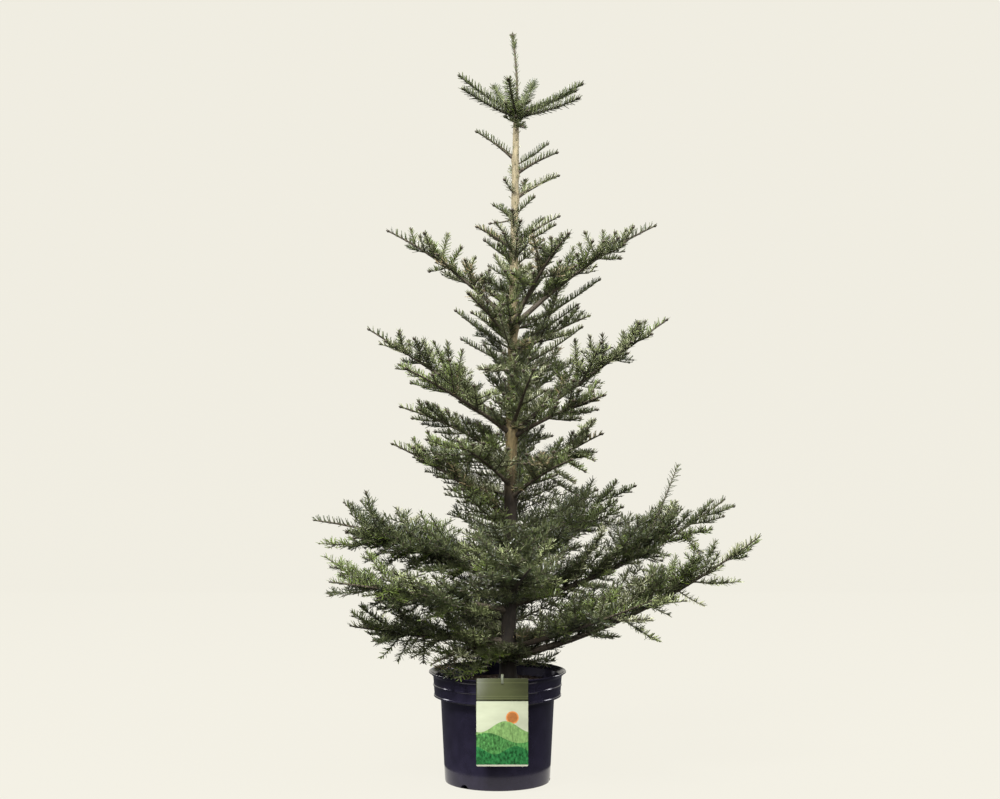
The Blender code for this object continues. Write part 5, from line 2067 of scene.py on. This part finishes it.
class FIR_OT_stage(Operator):
    """Set the camera, the pale floor and backdrop, and the soft lights"""

    bl_idname = "fir.stage"
    bl_label = "Stage"

    paper_radius = 8.0
    paper_step = 0.20
    paper_steps = 12
    paper_bend = 7.5
    paper_height = 7.0
    screen_width = 7.6
    screen_height = 5.2
    screen_back = 3.6
    shade_share = 0.75
    shade_height = 0.0005
    near_height = 0.0002
    shade_tone = (0.02, 0.02, 0.02, 1.0)

    # Each light in front, named as its setting, with its place, its target and its sizes
    lights = (
        ("key", (-1.2, -2.3, 3.7), (0.0, 0.0, 0.6), (1.0, 1.0)),
        ("fill", (2.4, -1.8, 3.2), (0.0, 0.0, 0.6), (1.4, 1.4)),
        ("front", (-0.9, -3.4, 1.3), (0.0, 0.0, 0.45), (1.2, 1.2)),
    )
    edge_place = (2.3, 1.0, 1.9)
    edge_target = (0.0, 0.0, 0.3)
    edge_sizes = (3.2, 0.5)

    # Tones of the sky, by how far up the view looks
    sky_tones = ((0.05, (0.09, 0.09, 0.10, 1.0)), (0.55, (1.0, 0.98, 0.94, 1.0)))

    def execute(self, context):
        settings = context.scene.fir_stage
        context.scene.view_settings.view_transform = "Standard"
        self.camera(context, settings)
        self.paper(settings)
        self.sky(context, settings)
        for name, place, target, sizes in self.lights:
            self.light(name, place, target, sizes, getattr(settings, name))
        way, back, height = self.edge_place
        for side, name in ((-1.0, "left_edge"), (1.0, "right_edge")):
            self.light(name, (way * side, back, height), self.edge_target, self.edge_sizes, settings.edge)
        return {"FINISHED"}

    def camera(self, context, settings):
        """The camera, level and square to the front."""
        place = (CAMERA_X, -settings.distance, settings.height)
        bpy.ops.object.camera_add(location=place, rotation=(math.pi / 2, 0.0, 0.0))
        camera = bpy.context.object
        camera.name = "camera"
        camera.data.lens = settings.lens
        camera.data.sensor_width = 36.0
        context.scene.camera = camera

    def paper(self, settings):
        """A wide bowl of pale paper, what the pot reflects of it, and the dark spot under the pot."""
        sheet = self.disc("paper", 128, self.paper_radius, 0.0)
        bpy.ops.object.mode_set(mode="EDIT")
        bpy.ops.mesh.select_all(action="DESELECT")
        bpy.ops.mesh.select_mode(type="EDGE")
        bpy.ops.object.mode_set(mode="OBJECT")
        for edge in sheet.data.edges:
            edge.select = True
        bpy.ops.object.mode_set(mode="EDIT")
        radius = self.paper_radius
        for step in range(self.paper_steps):
            angle = math.radians(self.paper_bend) * (step + 0.5)
            wider = radius + self.paper_step * math.cos(angle)
            bpy.ops.mesh.extrude_edges_move(
                TRANSFORM_OT_translate={"value": (0.0, 0.0, self.paper_step * math.sin(angle))}
            )
            bpy.ops.transform.resize(value=(wider / radius, wider / radius, 1.0))
            radius = wider
        bpy.ops.mesh.extrude_edges_move(TRANSFORM_OT_translate={"value": (0.0, 0.0, self.paper_height)})
        bpy.ops.object.mode_set(mode="OBJECT")
        bpy.ops.object.shade_smooth()
        settle(sheet)
        material = new_material("paper", 0.9, 0.1)
        shader = shader_of(material)
        albedo = toned(settings.paper, settings.paper_albedo)
        shader.inputs["Base Color"].default_value = (*albedo, 1.0)
        shader.inputs["Specular IOR Level"].default_value = 0.0
        shader.inputs["Emission Color"].default_value = (*settings.paper, 1.0)
        shader.inputs["Emission Strength"].default_value = settings.glow
        sheet.data.materials.append(material)
        sheet.visible_diffuse = False
        sheet.visible_glossy = False
        sheet.visible_shadow = False
        screen = added("screen", bpy.ops.mesh.primitive_plane_add, size=1.0, location=(0.0, 0.0, 0.0))
        screen.scale = (self.screen_width, self.screen_height, 1.0)
        screen.rotation_euler = (math.pi / 2, 0.0, 0.0)
        screen.location = (0.0, self.screen_back, self.screen_height / 2)
        settle(screen)
        screen.data.materials.append(material)
        screen.visible_camera = False
        screen.visible_diffuse = False
        shade = self.disc("shade", 96, LIP_RADIUS * self.shade_share, self.shade_height)
        settle(shade)
        shade_material = new_material("shade", 0.9, 0.0)
        shader_of(shade_material).inputs["Base Color"].default_value = self.shade_tone
        shade.data.materials.append(shade_material)
        near_sheet = self.disc("near_paper", 96, settings.near_paper, self.near_height)
        settle(near_sheet)
        near_sheet.data.materials.append(material)

    def disc(self, name, sides, radius, height):
        """A level disc at a height over the floor."""
        place = (0.0, 0.0, height)
        add = bpy.ops.mesh.primitive_circle_add
        return added(name, add, vertices=sides, radius=radius, fill_type="NGON", location=place)

    def sky(self, context, settings):
        """Pale light from overhead, which fades to dark at the horizon and below it."""
        world = bpy.data.worlds.new("studio")
        context.scene.world = world
        world.use_nodes = True
        tree = world.node_tree
        background = tree.nodes["Background"]
        background.inputs["Strength"].default_value = settings.sky
        places = tree.nodes.new("ShaderNodeTexCoord")
        split = tree.nodes.new("ShaderNodeSeparateXYZ")
        tones = tree.nodes.new("ShaderNodeValToRGB")
        for stop, (position, tone) in zip(tones.color_ramp.elements, self.sky_tones):
            stop.position = position
            stop.color = tone
        tree.links.new(places.outputs["Generated"], split.inputs["Vector"])
        tree.links.new(split.outputs["Z"], tones.inputs["Fac"])
        tree.links.new(tones.outputs["Color"], background.inputs["Color"])

    def light(self, name, place, target, sizes, power):
        """A soft light that looks at a target."""
        aim = Vector(target) - Vector(place)
        turn = aim.to_track_quat("-Z", "Y").to_euler()
        bpy.ops.object.light_add(type="AREA", location=place, rotation=turn)
        light = bpy.context.object
        light.name = name
        light.data.energy = power
        light.data.shape = "RECTANGLE"
        light.data.size = sizes[0]
        light.data.size_y = sizes[1]
        light.visible_camera = False


class FIR_PT_panel(Panel):
    """Buttons for each piece of the potted fir"""

    bl_label = "Potted fir"
    bl_idname = "FIR_PT_panel"
    bl_space_type = "VIEW_3D"
    bl_region_type = "UI"
    bl_category = "Fir"

    def draw(self, context):
        for operator in OPERATORS:
            self.layout.operator(operator.bl_idname)
        for group in SETTINGS:
            settings = getattr(context.scene, group)
            box = self.layout.box()
            for name in settings.bl_rna.properties.keys():
                if name not in ("rna_type", "name"):
                    box.prop(settings, name)


OPERATORS = (
    FIR_OT_trunk,
    FIR_OT_limbs,
    FIR_OT_twigs,
    FIR_OT_needles,
    FIR_OT_buds,
    FIR_OT_pot,
    FIR_OT_soil,
    FIR_OT_tag,
    FIR_OT_stage,
)
SETTINGS = {
    "fir_bark": FirBarkSettings,
    "fir_needles": FirNeedleSettings,
    "fir_pot": FirPotSettings,
    "fir_tag": FirTagSettings,
    "fir_stage": FirStageSettings,
}


def register():
    """Register the settings, the operators and the panel."""
    for group, settings in SETTINGS.items():
        bpy.utils.register_class(settings)
        setattr(bpy.types.Scene, group, PointerProperty(type=settings))
    for operator in OPERATORS:
        bpy.utils.register_class(operator)
    bpy.utils.register_class(FIR_PT_panel)


def unregister():
    """Remove what register added."""
    bpy.utils.unregister_class(FIR_PT_panel)
    for operator in reversed(OPERATORS):
        bpy.utils.unregister_class(operator)
    for group, settings in SETTINGS.items():
        delattr(bpy.types.Scene, group)
        bpy.utils.unregister_class(settings)


def main():
    """Make every piece in order."""
    register()
    bpy.ops.object.select_all(action="DESELECT")
    for operator in OPERATORS:
        section, name = operator.bl_idname.split(".")
        getattr(getattr(bpy.ops, section), name)()


if __name__ == "__main__":
    main()
